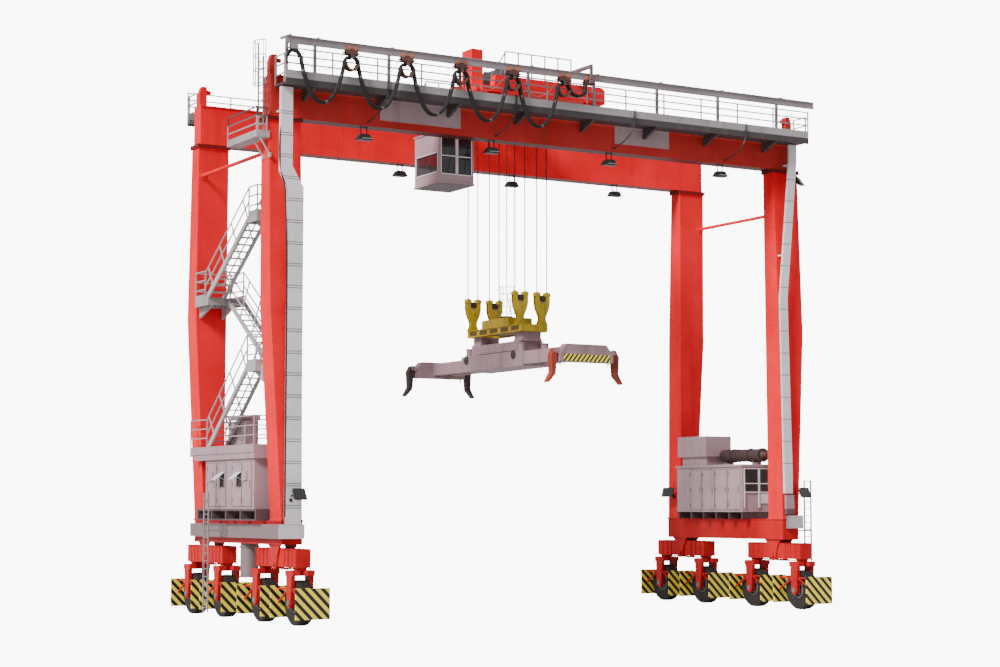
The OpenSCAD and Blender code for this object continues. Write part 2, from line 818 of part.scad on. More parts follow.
// Floodlight in its stirrup under a girder
module floodlight(x, y, z) {
    translate([x, y, z]) {
        rotate([90, 0, 0])
            translate([0, 0, -170])
                linear_extrude(340)
                    polygon([[-290, -120], [290, -120], [290, -70], [170, 110], [-170, 110], [-290, -70]]);
        for (s = SIDES) {
            block([s * 130 - 12, -25, 60], [s * 130 + 12, 25, 390]);
        }
        block([-142, -25, 370], [142, 25, 390]);
    }
}

module floodlights() {
    color("black") {
        for (x = [-8470, -2730, 2960, 8710])
            floodlight(x, -girder_y, girder_z - 390);
        for (x = [-3240, 2380, 7880])
            floodlight(x, girder_y, girder_z - 390);
    }
}

// Ladders from the sills towards the ground
module ladder(x, y, z0, z1) {
    for (s = SIDES)
        block([x - 25, y + s * 220 - 25, z0], [x + 25, y + s * 220 + 25, z1]);
    for (z = [z0 + 150:300:z1 - 50])
        block([x - 20, y - 200, z], [x + 20, y + 200, z + 30]);
}

module ladders() {
    ladder_y = -3650;
    left_x = -sill_x - reach + 25;
    right_x = sill_x + reach - 25;
    color("silver") {
        ladder(left_x, 600, 300, sill_top + 1070);
        for (s = SIDES, z = [sill_top - 420, sill_top - 180])
            block([left_x + 25 + run_gap, 600 + s * 220 - 20, z],
                [-sill_x - sill_w / 2 - casing_t - run_gap, 600 + s * 220 + 20, z + 50]);
        ladder(right_x, ladder_y, 2000, sill_top + 1670);
        for (s = SIDES)
            block([sill_x + sill_w / 2 + run_gap, ladder_y + s * 220 - 20, sill_top - 530],
                [right_x - 25 - run_gap, ladder_y + s * 220 + 20, sill_top - 480]);
        ladder(-sill_x - leg_out_top - 250, -3600, platform_z + 60, deck_z + deck_t + rail_h);
    }
}

// Bogie beam with its rocking pin, the two fixed rings that carry the forks and the steering cylinders
module bogie(side, s) {
    color("crimson")
        translate([side * sill_x, s * bogie_y, 0]) {
            translate([-bogie_w / 2, -bogie_len / 2, bogie_z])
                cube([bogie_w, bogie_len, bogie_h]);
            for (k = SIDES, z = [bogie_z, bogie_z + bogie_h - 25])
                translate([-bogie_w / 2 - 30, k < 0 ? -bogie_len / 2 : 660, z])
                    cube([bogie_w + 60, bogie_len / 2 - 660, 25]);
            bar_x(-bogie_w / 2 - cheek_t - 60, bogie_w / 2 + cheek_t + 60, 0, rock_z, rock_pin_d - 0.1);
            for (k = SIDES) {
                bar_z(0, k * wheel_pitch / 2, bogie_z - ring_h, bogie_z + 10, 2 * slew_r);
                mirror([0, k < 0 ? 1 : 0, 0])
                    steering_cylinder(k * 170);
            }
        }
}

// Steering cylinder along the underside of the bogie beam, from a lug to the slewing ring
module steering_cylinder(x) {
    z = bogie_z - 55;
    bar_y(x, 260, 880, z, 80);
    bar_y(x, 879, wheel_pitch / 2 - 200, z, 44);
    block([x - 20, 300, z], [x + 20, 380, bogie_z + 1]);
}

// Fork: slewing crown, two legs beside the tyre and a guard board before and behind it
module fork(side, y) {
    top = fork_crown_z;
    translate([side * sill_x, y, 0]) {
        color("crimson") {
            bar_z(0, 0, top - 10, bogie_z - ring_h - slew_gap, 2 * slew_r - 60);
            difference() {
                translate([-fork_in - fork_leg, -330, top - fork_crown_h])
                    cube([2 * (fork_in + fork_leg), 660, fork_crown_h]);
                for (s = SIDES)
                    translate([0, s * 400, top - fork_crown_h - cut])
                        rotate([0, 0, 45])
                            translate([-160, -160, 0])
                                cube([320, 320, fork_crown_h + 2 * cut]);
            }
            for (s = SIDES)
                difference() {
                    fork_side(s, top);
                    bar_x(-fork_in - 2 * fork_leg, fork_in + 2 * fork_leg, 0, tyre_r, axle_d);
                }
        }
        color("gold")
            for (s = SIDES)
                mirror([0, s < 0 ? 1 : 0, 0])
                    guard();
    }
}

module fork_side(s, top) {
    translate([s * (fork_in + fork_leg / 2) - fork_leg / 2, 0, 0])
        rotate([90, 0, 90])
            linear_extrude(fork_leg) {
                polygon([[-290, top], [290, top], [290, top - 60], [250, top - 160], [185, tyre_r + 60],
                    [-185, tyre_r + 60], [-250, top - 160], [-290, top - 60]]);
                translate([0, tyre_r])
                    circle(d = hub_d);
            }
}

// Guard board before the tyre on two arms, each with a slanting brace
module guard() {
    arm_top = guard_z + guard_h - 30;
    translate([-guard_w / 2, guard_y, guard_z])
        cube([guard_w, guard_t, guard_h]);
    for (s = SIDES) {
        x = s * (fork_in + fork_leg / 2);
        block([x - 30, 150, arm_top - 70], [x + 30, guard_y + 5, arm_top]);
        slope_bar(x, [200, arm_top - 20], [guard_y + 5, arm_top - 500], 50, 70);
    }
}

// Wheel: tyre with shoulders and dished rim, turning with its axle
module wheel(side, y) {
    translate([side * sill_x, y, tyre_r])
        rotate([0, 90, 0]) {
            color("black")
                rotate_extrude($fn = 72)
                    polygon([[300, -tyre_w / 2 + 40], [430, -tyre_w / 2], [tyre_r - 110, -tyre_w / 2],
                        [tyre_r - 30, -tyre_w / 2 + 50], [tyre_r, -tyre_w / 2 + 110],
                        [tyre_r, tyre_w / 2 - 110], [tyre_r - 30, tyre_w / 2 - 50],
                        [tyre_r - 110, tyre_w / 2], [430, tyre_w / 2], [300, tyre_w / 2 - 40]]);
            color("gray") {
                difference() {
                    union() {
                        cylinder(h = 240, r = 320, center = true);
                        cylinder(h = tyre_w, d = 300, center = true);
                    }
                    cylinder(h = tyre_w + 2 * cut, d = axle_d + 2 * run_gap, center = true);
                }
                cylinder(h = 2 * (fork_in + fork_leg) + 80, d = axle_d - 0.1, center = true);
            }
        }
}

// Trolley: two deep side beams over the girders, cross beams, wheels, cab hangers and the mast
module trolley_frame() {
    left_end = frame_x - trolley_half;
    color("red")
        translate([trolley_x, 0, 0]) {
            for (s = SIDES) {
                translate([frame_x, s * girder_y + 200, 0])
                    rotate([90, 0, 0])
                        linear_extrude(400)
                            polygon([[-trolley_half, trolley_z], [trolley_half, trolley_z],
                                [trolley_half, trolley_deck_z - 120], [trolley_half - 160, trolley_deck_z],
                                [-trolley_half + 620, trolley_deck_z], [-trolley_half + 560, trolley_z + 240],
                                [-trolley_half, trolley_z + 240]]);
                for (w = SIDES)
                    trolley_wheel(frame_x + w * trolley_wheel_x, s * girder_y);
            }
            for (x = [left_end + 200, -block_x - 900, block_x + 600, left_end + trolley_len - 500])
                translate([x, -girder_y, trolley_z + 20])
                    cube([300, 2 * girder_y, x < -trolley_half ? 200 : trolley_beam_h - 80]);
            for (s = SIDES)
                translate([left_end + 210, s * fall_y - 150, trolley_z + 60])
                    cube([trolley_len - 420, 300, trolley_beam_h - 120]);
        }
    color("red") {
        for (y = [cab_y + 200, cab_y + cab_d - 200])
            block([cab_x + cab_w / 2 - 80, y - hanger_w / 2, trolley_z + 60],
                [trolley_x + left_end + 260, y + hanger_w / 2, trolley_z + 60 + hanger_h]);
        block([trolley_x - 3530, -3200, trolley_z + 60], [trolley_x - 3030, cab_y + 280, trolley_z + 1780]);
        block([trolley_x - 3531, -girder_y - 100, trolley_z + 40], [trolley_x - 3100, -3000, trolley_z + 240]);
        block([trolley_x - 3530, -3560, trolley_z + 20], [trolley_x + left_end + 1, -3300, trolley_z + 240]);
    }
    color("silver")
        tow_arm();
}

// Trolley wheel between the two cheeks that hang from the side beam
module trolley_wheel(x, y) {
    translate([x, y, rail_top + run_gap + trolley_wheel_d / 2])
        rotate([90, 0, 0])
            cylinder(h = 120, d = trolley_wheel_d, center = true);
    for (k = SIDES)
        translate([x - 150, y + k * 120 - 30, rail_top + 180])
            cube([300, 60, trolley_z - rail_top - 170]);
}

// Arm that reaches over the track and takes the tow carriage along between two prongs
module tow_arm() {
    over = track_z + track_h + 200;
    front = -tow_pin_y - 20;
    block([tow_x - 60, -girder_y - 190, trolley_z + 100], [tow_x + 60, -girder_y - 70, over]);
    block([tow_x - 60, front, over], [tow_x + 60, -girder_y - 70, over + 140]);
    block([tow_x - 60, front, track_z + 40], [tow_x + 60, front + 80, over]);
    for (s = SIDES)
        block([tow_x + s * 60 - 15, front, track_z - 150], [tow_x + s * 60 + 15, front + 80, track_z + 41]);
}

// Hoist: rope drum on its pedestals, gearbox and motor
module hoist_machinery() {
    color("slategray")
        translate([trolley_x, 0, trolley_deck_z]) {
            for (y = [-1800, -60, 1680])
                translate([-900, y, 560])
                    rotate([-90, 0, 0])
                        cylinder(h = 120, d = 860);
            translate([-900, 0, 560])
                rotate([90, 0, 0])
                    cylinder(h = 3600, d = 760, center = true);
            for (s = SIDES)
                translate([-1150, s * 1950 - 100, -60])
                    cube([500, 200, 990]);
            translate([-600, 1000, -60])
                cube([1700, 900, 840]);
            translate([1100, 1450, 360])
                rotate([0, 90, 0])
                    cylinder(h = 700, d = 520);
            translate([1250, 1250, -60])
                cube([420, 400, 200]);
        }
}

// Railings along both edges of the trolley deck, with a sloping left end
module trolley_railing() {
    left = trolley_x - 2110;
    right = trolley_x + 1120;
    posts = 5;
    color("silver")
        for (s = SIDES) {
            y = s * (girder_y - 100);
            for (k = [1, 2])
                block([left, y - bar / 2, trolley_deck_z + k * rail_h / 2 - bar],
                    [right, y + bar / 2, trolley_deck_z + k * rail_h / 2]);
            for (i = [0:posts])
                translate([left + i * (right - left - bar) / posts, y - bar / 2, trolley_deck_z])
                    cube([bar, bar, rail_h]);
            translate([0, y + bar / 2, 0])
                rotate([90, 0, 0])
                    linear_extrude(bar)
                        polygon([[left + bar, trolley_deck_z + rail_h],
                            [left + bar, trolley_deck_z + rail_h - 80],
                            [left - 590, trolley_deck_z + run_gap], [left - 640, trolley_deck_z + run_gap]]);
        }
}

// Operator's cab under the trolley: framed windows on three sides, four posts up to the hangers
module cab() {
    x1 = cab_x + cab_w;
    y1 = cab_y + cab_d;
    pane = 60;
    color("lightgray") {
        difference() {
            block([cab_x, cab_y, cab_z + 80], [x1, y1, cab_z + cab_h]);
            block([cab_x - cut, cab_y + 130, cab_z + 500], [cab_x + pane, y1 - 130, cab_z + 1250]);
            for (x = [cab_x + 110, cab_x + 860])
                block([x, cab_y - cut, cab_z + 420], [x + 640, cab_y + pane, cab_z + cab_h - 130]);
            block([cab_x + 110, y1 - pane, cab_z + 420], [x1 - 110, y1 + cut, cab_z + cab_h - 130]);
            block([x1 - pane, cab_y + 200, cab_z + 700], [x1 + cut, y1 - 200, cab_z + cab_h - 130]);
        }
        block([cab_x - 40, cab_y - 40, cab_z + cab_h - 60], [x1 + 40, y1 + 40, cab_z + cab_h]);
        block([cab_x - 30, cab_y - 30, cab_z], [x1 + 30, y1 + 30, cab_z + 81]);
        for (x = [cab_x + cab_w / 2 - 70, x1 - 200], y = [cab_y + 200, y1 - 200])
            block([x, y - 70, cab_z + cab_h - 1], [x + 140, y + 70, trolley_z + 60]);
    }
}

// Rope falls from the trolley down to the four sheave blocks, and the power cable
module hoist_ropes() {
    color("dimgray")
        for (s = SIDES, b = SIDES, f = SIDES)
            bar_z(trolley_x + b * block_x + f * sheave_d / 2, s * fall_y, sheave_z, rope_top_z, rope_d);
}

// Head block: welded frame, centre box and the four sheave blocks
module head_block() {
    color("goldenrod")
        translate([trolley_x, 0, 0]) {
            for (s = SIDES) {
                translate([s * (head_w / 2 - 110) - 110, -head_len / 2, head_z])
                    cube([220, head_len, head_h]);
                translate([-head_w / 2, s * (head_len / 2 - 180) - 180, head_z])
                    cube([head_w, 360, head_h]);
                for (z = [head_z, head_z + head_h - 25])
                    translate([s * head_w / 2 - (s < 0 ? 35 : -1) - 1, -head_len / 2 + 60, z])
                        cube([36, head_len - 120, 25]);
            }
            translate([-head_w / 2 + 60, -1100, head_z + 40])
                cube([head_w - 120, 2200, head_h - 40 + head_box_h]);
            for (s = SIDES, b = SIDES)
                translate([b * block_x, s * fall_y, 0])
                    sheave_block();
        }
}

// Sheave block: two forked cheeks with the grooved sheave between them and a rope guide on each prong
module sheave_block() {
    prong = 130;
    half = sheave_d / 2;
    groove = half - rope_d / 2 - run_gap;
    for (k = SIDES)
        translate([0, k * 82 + 15, 0])
            rotate([90, 0, 0])
                linear_extrude(30)
                    difference() {
                        polygon([[-230, block_z - 60], [230, block_z - 60], [230, block_z + 30],
                            [150, block_z + 200], [150, block_z + 340], [half + 60, sheave_z - 60],
                            [half + prong - 20, sheave_z + 180], [half + prong - 20, guard_top - 150],
                            [-half - prong + 20, guard_top - 150], [-half - prong + 20, sheave_z + 180],
                            [-half - 60, sheave_z - 60], [-150, block_z + 340], [-150, block_z + 200],
                            [-230, block_z + 30]]);
                        translate([0, sheave_z + 330])
                            circle(d = 2 * half - 160);
                        translate([-half + 80, sheave_z + 330])
                            square([2 * half - 160, 500]);
                    }
    translate([0, 0, sheave_z])
        rotate([90, 0, 0])
            rotate_extrude()
                polygon([[0, -50], [half + 24, -50], [half + 24, -42], [groove, -14],
                    [groove, 14], [half + 24, 42], [half + 24, 50], [0, 50]]);
    bar_y(0, -125, 125, sheave_z, 110);
    for (k = SIDES)
        translate([0, k * 60 - 8, block_z - 60])
            translate([-150, 0, 0])
                cube([300, 16, 330]);
    for (s = SIDES)
        translate([s * half, 0, guard_top - 170])
            rope_guide();
}

// Rounded guide housing that a rope runs down through
module rope_guide() {
    difference() {
        union() {
            linear_extrude(130) {
                translate([-60, -110])
                    square([120, 220]);
                for (k = SIDES)
                    translate([k * 60, 0])
                        circle(r = 110);
            }
            for (k = SIDES)
                translate([0, k * 70 + 30, 110])
                    rotate([90, 0, 0])
                        cylinder(h = 60, d = 120);
        }
        translate([0, 0, -cut])
            cylinder(h = 240, d = rope_d + 34);
    }
}

// Open wire basket that takes in the power cable: rings joined by slanting bars
module cable_basket() {
    base = block_z + head_box_h + run_gap;
    wire = 18;
    bars = 12;
    rings = [[390, wire / 2], [376, 300], [345, 560], [312, 820], [262, 1100], [342, 1400]];
    color("gray")
        translate([trolley_x, 0, base]) {
            for (r = rings)
                translate([0, 0, r[1]])
                    rotate_extrude($fn = 48)
                        translate([r[0], 0])
                            square(wire, center = true);
            for (i = [0:bars - 1], k = [0:len(rings) - 2])
                rotate([0, 0, i * 360 / bars])
                    basket_bar(rings[k], rings[k + 1], wire);
        }
}

// One straight piece of wire between two rings
module basket_bar(p, q, wire) {
    run = q - p;
    translate([p[0], 0, p[1]])
        rotate([0, atan2(run[0], run[1]), 0])
            cylinder(h = norm(run), d = wire, $fn = 6);
}

// Main frame of the spreader with four square tunnels for the arms, carried under an upper beam
module spreader_frame() {
    upper_z = main_top + 45;
    color("lightgray")
        translate([trolley_x, 0, 0]) {
            difference() {
                translate([-main_w / 2, -main_len / 2, main_z])
                    cube([main_w, main_len, main_h]);
                for (i = [0:3])
                    translate([-main_w / 2 + (i + 0.5) * lane, 0, arm_z + arm_h / 2]) {
                        cube([arm_w + 2 * slide_gap, main_len - 2 * pad_len, arm_h + 2 * slide_gap],
                            center = true);
                        cube([arm_w + 2 * run_gap, main_len + 2 * cut, arm_h + 2 * run_gap], center = true);
                    }
            }
            for (s = SIDES)
                block([-620, s * 1650 - 200, main_top - 1], [620, s * 1650 + 200, upper_z + 1]);
            block([-620, -1900, upper_z], [620, 1900, upper_z + upper_h]);
            for (s = SIDES, k = SIDES)
                translate([k * 560, s * 2130, main_top - 1]) {
                    cylinder(h = 301, d = 330);
                    translate([0, 0, 300])
                        cylinder(h = 40, d = 390);
                }
            for (s = SIDES)
                translate([0, s * 1700 + 330, 0])
                    rotate([90, 0, 0])
                        linear_extrude(660)
                            polygon([[-520, upper_z + upper_h - 1], [520, upper_z + upper_h - 1],
                                [440, upper_z + upper_h + 120], [440, head_z], [-440, head_z],
                                [-440, upper_z + upper_h + 120]]);
        }
}

// Telescopic arm pair with its end beam and locks
module spreader_arm(s) {
    lanes = s < 0 ? [0, 2] : [1, 3];
    color("silver")
        translate([trolley_x, 0, 0])
            mirror([0, s < 0 ? 1 : 0, 0]) {
                for (i = lanes)
                    translate([-main_w / 2 + (i + 0.5) * lane - arm_w / 2, tail_in, arm_z])
                        cube([arm_w, end_y - tail_in, arm_h]);
                translate([0, end_y + end_beam_d / 2, 0])
                    rotate([90, 0, 0])
                        linear_extrude(end_beam_d)
                            polygon([[-end_beam_w / 2, lock_z + 60], [end_beam_w / 2, lock_z + 60],
                                [end_beam_w / 2, lock_z + 380], [end_beam_w / 2 - 330, arm_z + arm_h + 60],
                                [-end_beam_w / 2 + 330, arm_z + arm_h + 60], [-end_beam_w / 2, lock_z + 380]]);
                for (k = SIDES) {
                    bar_z(k * lock_gauge / 2, end_y, lock_z - 110, lock_z + 61, lock_d);
                    flipper_lugs(k);
                }
            }
}

// Two bored lugs that hold a corner guide at the end of the end beam
module flipper_lugs(side) {
    for (k = SIDES)
        translate([0, flipper_y + k * (flipper_w / 2 + slide_gap + lug_t / 2) + lug_t / 2, 0])
            rotate([90, 0, 0])
                linear_extrude(lug_t)
                    difference() {
                        union() {
                            translate([side * flipper_x, flipper_z])
                                circle(d = 2 * flipper_pin + 40);
                            polygon([[side * (end_beam_w / 2 - 5), flipper_z - 120],
                                [side * flipper_x, flipper_z - flipper_pin - 20],
                                [side * flipper_x, flipper_z + flipper_pin + 20],
                                [side * (end_beam_w / 2 - 5), flipper_z + 120]]);
                        }
                        translate([side * flipper_x, flipper_z])
                            circle(d = flipper_pin);
                    }
}

// Corner guide: a tapering arm on a cross pin with a flared shoe
module flipper(s, side) {
    color("orangered")
        translate([trolley_x + side * flipper_x, s * flipper_y, flipper_z])
            mirror([side < 0 ? 1 : 0, 0, 0]) {
                rotate([90, 0, 0])
                    translate([0, 0, -flipper_w / 2])
                        linear_extrude(flipper_w) {
                            circle(d = 2 * flipper_pin + 100);
                            polygon([[-70, 0], [100, 20], [210, -160], [165, -flipper_len + 420],
                                [400, -flipper_len], [320, -flipper_len], [10, -flipper_len + 330],
                                [-60, -200]]);
                        }
                bar_y(0, -flipper_w / 2 - slide_gap - lug_t - 10, flipper_w / 2 + slide_gap + lug_t + 10, 0,
                    flipper_pin - 0.1);
            }
}

sill(-1);  // sill_left
sill(1);  // sill_right
leg(-1, -1);  // leg_front_left
leg(-1, 1);  // leg_rear_left
leg(1, -1);  // leg_front_right
leg(1, 1);  // leg_rear_right
girder(-1);  // girder_front
girder(1);  // girder_rear
leg_ties();
walkways();
walkway_railings();
festoon_track();
festoon_cable();
festoon_carrier(clamp_x + carrier_pitch);  // festoon_carrier_1
festoon_carrier(clamp_x + 2 * carrier_pitch);  // festoon_carrier_2
festoon_carrier(clamp_x + 3 * carrier_pitch);  // festoon_carrier_3
festoon_carrier(clamp_x + 4 * carrier_pitch);  // festoon_carrier_4
festoon_carrier(clamp_x + 5 * carrier_pitch);  // festoon_carrier_5
tow_carriage();
stair_flights();
landings();
ladders();
electric_house();
power_pack();
cable_casing();
floodlights();
bogie(-1, 1);  // bogie_left_rear
bogie(-1, -1);  // bogie_left_front
bogie(1, 1);  // bogie_right_rear
bogie(1, -1);  // bogie_right_front
fork(-1, wheel_y[0]);  // fork_left_1
fork(-1, wheel_y[1]);  // fork_left_2
fork(-1, wheel_y[2]);  // fork_left_3
fork(-1, wheel_y[3]);  // fork_left_4
fork(1, wheel_y[0]);  // fork_right_1
fork(1, wheel_y[1]);  // fork_right_2
fork(1, wheel_y[2]);  // fork_right_3
fork(1, wheel_y[3]);  // fork_right_4
wheel(-1, wheel_y[0]);  // wheel_left_1
wheel(-1, wheel_y[1]);  // wheel_left_2
wheel(-1, wheel_y[2]);  // wheel_left_3
wheel(-1, wheel_y[3]);  // wheel_left_4
wheel(1, wheel_y[0]);  // wheel_right_1
wheel(1, wheel_y[1]);  // wheel_right_2
wheel(1, wheel_y[2]);  // wheel_right_3
wheel(1, wheel_y[3]);  // wheel_right_4
trolley_frame();
hoist_machinery();
trolley_railing();
cab();
hoist_ropes();
head_block();
cable_basket();
spreader_frame();
spreader_arm(-1);  // spreader_arm_front
spreader_arm(1);  // spreader_arm_rear
flipper(-1, -1);  // flipper_front_left
flipper(-1, 1);  // flipper_front_right
flipper(1, -1);  // flipper_rear_left
flipper(1, 1);  // flipper_rear_right
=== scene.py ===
# %% [markdown]
# # A rubber tyred gantry crane
# This yard crane straddles six rows of containers and a truck lane. Two box girders rest on four legs, a
# trolley with the cab runs on top of them, and a roped head block with a telescopic spreader hangs below.
# The shapes that move come from the CAD frame. Here they get their paint, and the parts that a CAD solid
# only stands for get their real form: cables, ropes, tyres, rollers, doors, lamps and bolts.

# %% Load the frame
import fnmatch
import math
from contextlib import contextmanager

import bpy
from mathutils import Matrix, Vector


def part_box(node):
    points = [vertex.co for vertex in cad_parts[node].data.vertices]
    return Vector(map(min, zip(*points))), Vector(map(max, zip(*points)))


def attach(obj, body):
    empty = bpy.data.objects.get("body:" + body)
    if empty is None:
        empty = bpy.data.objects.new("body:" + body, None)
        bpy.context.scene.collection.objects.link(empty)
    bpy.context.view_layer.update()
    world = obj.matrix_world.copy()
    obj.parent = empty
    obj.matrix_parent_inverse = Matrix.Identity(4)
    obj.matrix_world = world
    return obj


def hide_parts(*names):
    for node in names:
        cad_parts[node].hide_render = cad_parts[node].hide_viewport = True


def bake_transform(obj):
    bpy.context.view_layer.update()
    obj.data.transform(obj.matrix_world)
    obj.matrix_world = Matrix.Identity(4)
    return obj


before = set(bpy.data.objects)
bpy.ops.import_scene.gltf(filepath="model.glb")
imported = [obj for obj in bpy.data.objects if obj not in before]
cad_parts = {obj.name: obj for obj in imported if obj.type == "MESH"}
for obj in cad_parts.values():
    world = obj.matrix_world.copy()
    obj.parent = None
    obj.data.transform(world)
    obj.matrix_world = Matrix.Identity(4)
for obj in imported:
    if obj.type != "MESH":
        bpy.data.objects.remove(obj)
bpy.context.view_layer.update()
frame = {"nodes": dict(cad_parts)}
nodes = frame["nodes"]
SIDES = (-1, 1)
FLANKS = ((-1, "left"), (1, "right"))
ENDS = ((-1, "front"), (1, "rear"))

# %% [markdown]
# ## The camera
# A long lens from far away keeps the legs nearly upright. The distance was found from pieces of known size
# in the photograph, so the camera is placed by numbers and not by eye. The crane is big, so the far clip
# distance goes well past the default hundred metres.

# %% Camera
camera_data = bpy.data.cameras.new("yard_camera")
camera_data.sensor_width = 36
camera_data.lens = 72.83
camera_data.clip_start = 1
camera_data.clip_end = 2000
camera = bpy.data.objects.new("yard_camera", camera_data)
bpy.context.collection.objects.link(camera)
camera.location = (-43.42, -73.08, 4.36)
camera.rotation_euler = (math.radians(90 + 4.89), 0, math.radians(-30.56))
bpy.context.scene.camera = camera
print("camera", camera.location)

# %% [markdown]
# ## Small tools for modelling
# Every primitive is added at its own size and place, shaped in edit mode, and joined with its neighbours
# into one piece. An operator works on all that is selected, so each helper first deselects everything.
# A finished piece has its origin at the world's origin, because its place is in its mesh.

# %% Selecting, editing and settling an object
def only(*objects):
    bpy.ops.object.select_all(action="DESELECT")
    for o in objects:
        o.select_set(True)
    bpy.context.view_layer.objects.active = objects[-1]

def settle(o):
    only(o)
    bpy.ops.object.transform_apply(location=True, rotation=True, scale=True)
    return o

def added(operator, **settings):
    bpy.ops.object.select_all(action="DESELECT")
    operator(**settings)
    return bpy.context.object

@contextmanager
def editing(o):
    """Edit mode on one object, with its whole mesh selected."""
    only(o)
    bpy.ops.object.mode_set(mode="EDIT")
    bpy.ops.mesh.select_all(action="SELECT")
    yield
    bpy.ops.object.mode_set(mode="OBJECT")

def aimed(o, axis):
    """Turns an object's own Z along an axis."""
    o.rotation_mode = "QUATERNION"
    o.rotation_quaternion = Vector(axis).to_track_quat("Z", "Y")
    return settle(o)

def loop_of(points, fill="NOTHING"):
    """A circle primitive whose vertices are moved to the points."""
    o = added(bpy.ops.mesh.primitive_circle_add, vertices=len(points), radius=1, fill_type=fill)
    for vertex, point in zip(o.data.vertices, points):
        vertex.co = point
    return o

def between(a, b, count):
    return [a + (b - a) * i / (count - 1) for i in range(count)]

def shift(x, y, z):
    return Matrix.Translation((x, y, z))

def turn(angle, axis):
    return Matrix.Rotation(angle, 4, axis)

MIRROR_X = Matrix.Scale(-1, 4, (1, 0, 0))

# %% Primitives
def block(low, high, bevel=0.0, segments=1):
    """A box between two corners, with its edges bevelled in edit mode."""
    o = added(bpy.ops.mesh.primitive_cube_add, size=1, location=[(a + b) / 2 for a, b in zip(low, high)])
    o.scale = [abs(b - a) for a, b in zip(low, high)]
    settle(o)
    if bevel:
        with editing(o):
            bpy.ops.mesh.bevel(offset=bevel, segments=segments)
    return o

def rod(start, end, radius, sides=12):
    """A round bar from one point to another."""
    a, b = Vector(start), Vector(end)
    return aimed(added(bpy.ops.mesh.primitive_cone_add, vertices=sides, radius1=radius, radius2=radius,
                       depth=(b - a).length, location=(a + b) / 2), b - a)

def ring(centre, radius, thickness, axis=(0, 0, 1), sides=24, small=6):
    """A bent round bar that closes on itself."""
    return aimed(added(bpy.ops.mesh.primitive_torus_add, major_radius=radius, minor_radius=thickness,
                       major_segments=sides, minor_segments=small, location=centre), axis)

def plate(outline, depth, place):
    """A flat plate: an outline in its own plane, pushed out by depth and put in its place."""
    o = loop_of([(x, y, 0) for x, y in outline], "NGON")
    with editing(o):
        bpy.ops.mesh.extrude_region_move(TRANSFORM_OT_translate={"value": (0, 0, depth)})
        bpy.ops.mesh.select_all(action="SELECT")
        bpy.ops.mesh.normals_make_consistent(inside=False)
    o.matrix_world = place
    return settle(o)

def spun(profile, centre, axis, steps=48):
    """A turned piece: points (radius, along) spun round an axis in edit mode."""
    o = loop_of([(radius, 0, along) for radius, along in profile])
    with editing(o):
        bpy.ops.mesh.spin(steps=steps, angle=math.tau, center=(0, 0, 0), axis=(0, 0, 1))
        bpy.ops.mesh.select_all(action="SELECT")
        bpy.ops.mesh.remove_doubles(threshold=0.0001)
        bpy.ops.mesh.normals_make_consistent(inside=False)
    o.location = centre
    return aimed(o, axis)

def arch(profile, centre):
    """Half a turned ring: points (radius, along y) spun over the top, with its ends filled."""
    o = loop_of([(radius, along, 0) for radius, along in profile])
    with editing(o):
        bpy.ops.mesh.spin(steps=20, angle=-math.pi, center=(0, 0, 0), axis=(0, 1, 0))
        bpy.ops.mesh.select_all(action="SELECT")
        bpy.ops.mesh.fill_holes(sides=0)
        bpy.ops.mesh.normals_make_consistent(inside=False)
    o.location = centre
    return settle(o)

def tube_over(points, sides):
    """A closed tube whose rings are the points, taken sides at a time."""
    o = loop_of(points[:sides])
    faces = []
    for start in range(0, len(points) - sides, sides):
        for j in range(sides):
            a, b = start + j, start + (j + 1) % sides
            faces.append((a, b, b + sides, a + sides))
    faces += [tuple(range(sides)), tuple(range(len(points) - 1, len(points) - sides - 1, -1))]
    o.data.clear_geometry()
    o.data.from_pydata([tuple(p) for p in points], [], faces)
    o.data.update()
    with editing(o):
        bpy.ops.mesh.normals_make_consistent(inside=False)
    return o

def tube_along(line, radius, sides, side_shift=0.0, up_shift=0.0):
    """A tube along a line in a plane of constant y, shifted across it."""
    across, points = Vector((0, 1, 0)), []
    for i, p in enumerate(line):
        way = Vector(line[min(i + 1, len(line) - 1)]) - Vector(line[max(i - 1, 0)])
        normal = way.normalized().cross(across).normalized()
        centre = Vector(p) + across * side_shift + normal * up_shift
        points += [centre + (across * math.cos(t) + normal * math.sin(t)) * radius
                   for t in (math.tau * j / sides for j in range(sides))]
    o = tube_over(points, sides)
    bpy.ops.object.shade_smooth()
    return o

def bent_pipe(points, radius, rounds=4):
    """A pipe through points, with its corners rounded by a few shortening steps."""
    line = [Vector(p) for p in points]
    for _ in range(rounds):
        cut = [q for a, b in zip(line, line[1:]) for q in (a.lerp(b, 0.25), a.lerp(b, 0.75))]
        line = [line[0], *cut, line[-1]]
    line = [p for i, p in enumerate(line) if i == 0 or (p - line[i - 1]).length > 0.004]
    curve = bpy.data.curves.new("pipe", "CURVE")
    curve.dimensions = "3D"
    curve.bevel_depth = radius
    curve.bevel_resolution = 1
    curve.use_fill_caps = True
    spline = curve.splines.new("POLY")
    spline.points.add(len(line) - 1)
    for spot, p in zip(spline.points, line):
        spot.co = (*p, 1)
    o = bpy.data.objects.new("pipe", curve)
    bpy.context.collection.objects.link(o)
    only(o)
    bpy.ops.object.convert(target="MESH")
    return bpy.context.object

def sunken(o, direction, rim, depth):
    """Insets the largest face that looks along direction and pushes it in."""
    with editing(o):
        bpy.ops.mesh.select_all(action="DESELECT")
    way = Vector(direction)
    facing = [p for p in o.data.polygons if p.normal.dot(way) > 0.9]
    max(facing, key=lambda p: p.area).select = True
    bpy.ops.object.mode_set(mode="EDIT")
    bpy.ops.mesh.select_mode(type="FACE")
    bpy.ops.mesh.inset(thickness=rim)
    bpy.ops.mesh.extrude_region_move(TRANSFORM_OT_translate={"value": tuple(-way * depth)})
    bpy.ops.object.mode_set(mode="OBJECT")
    return o

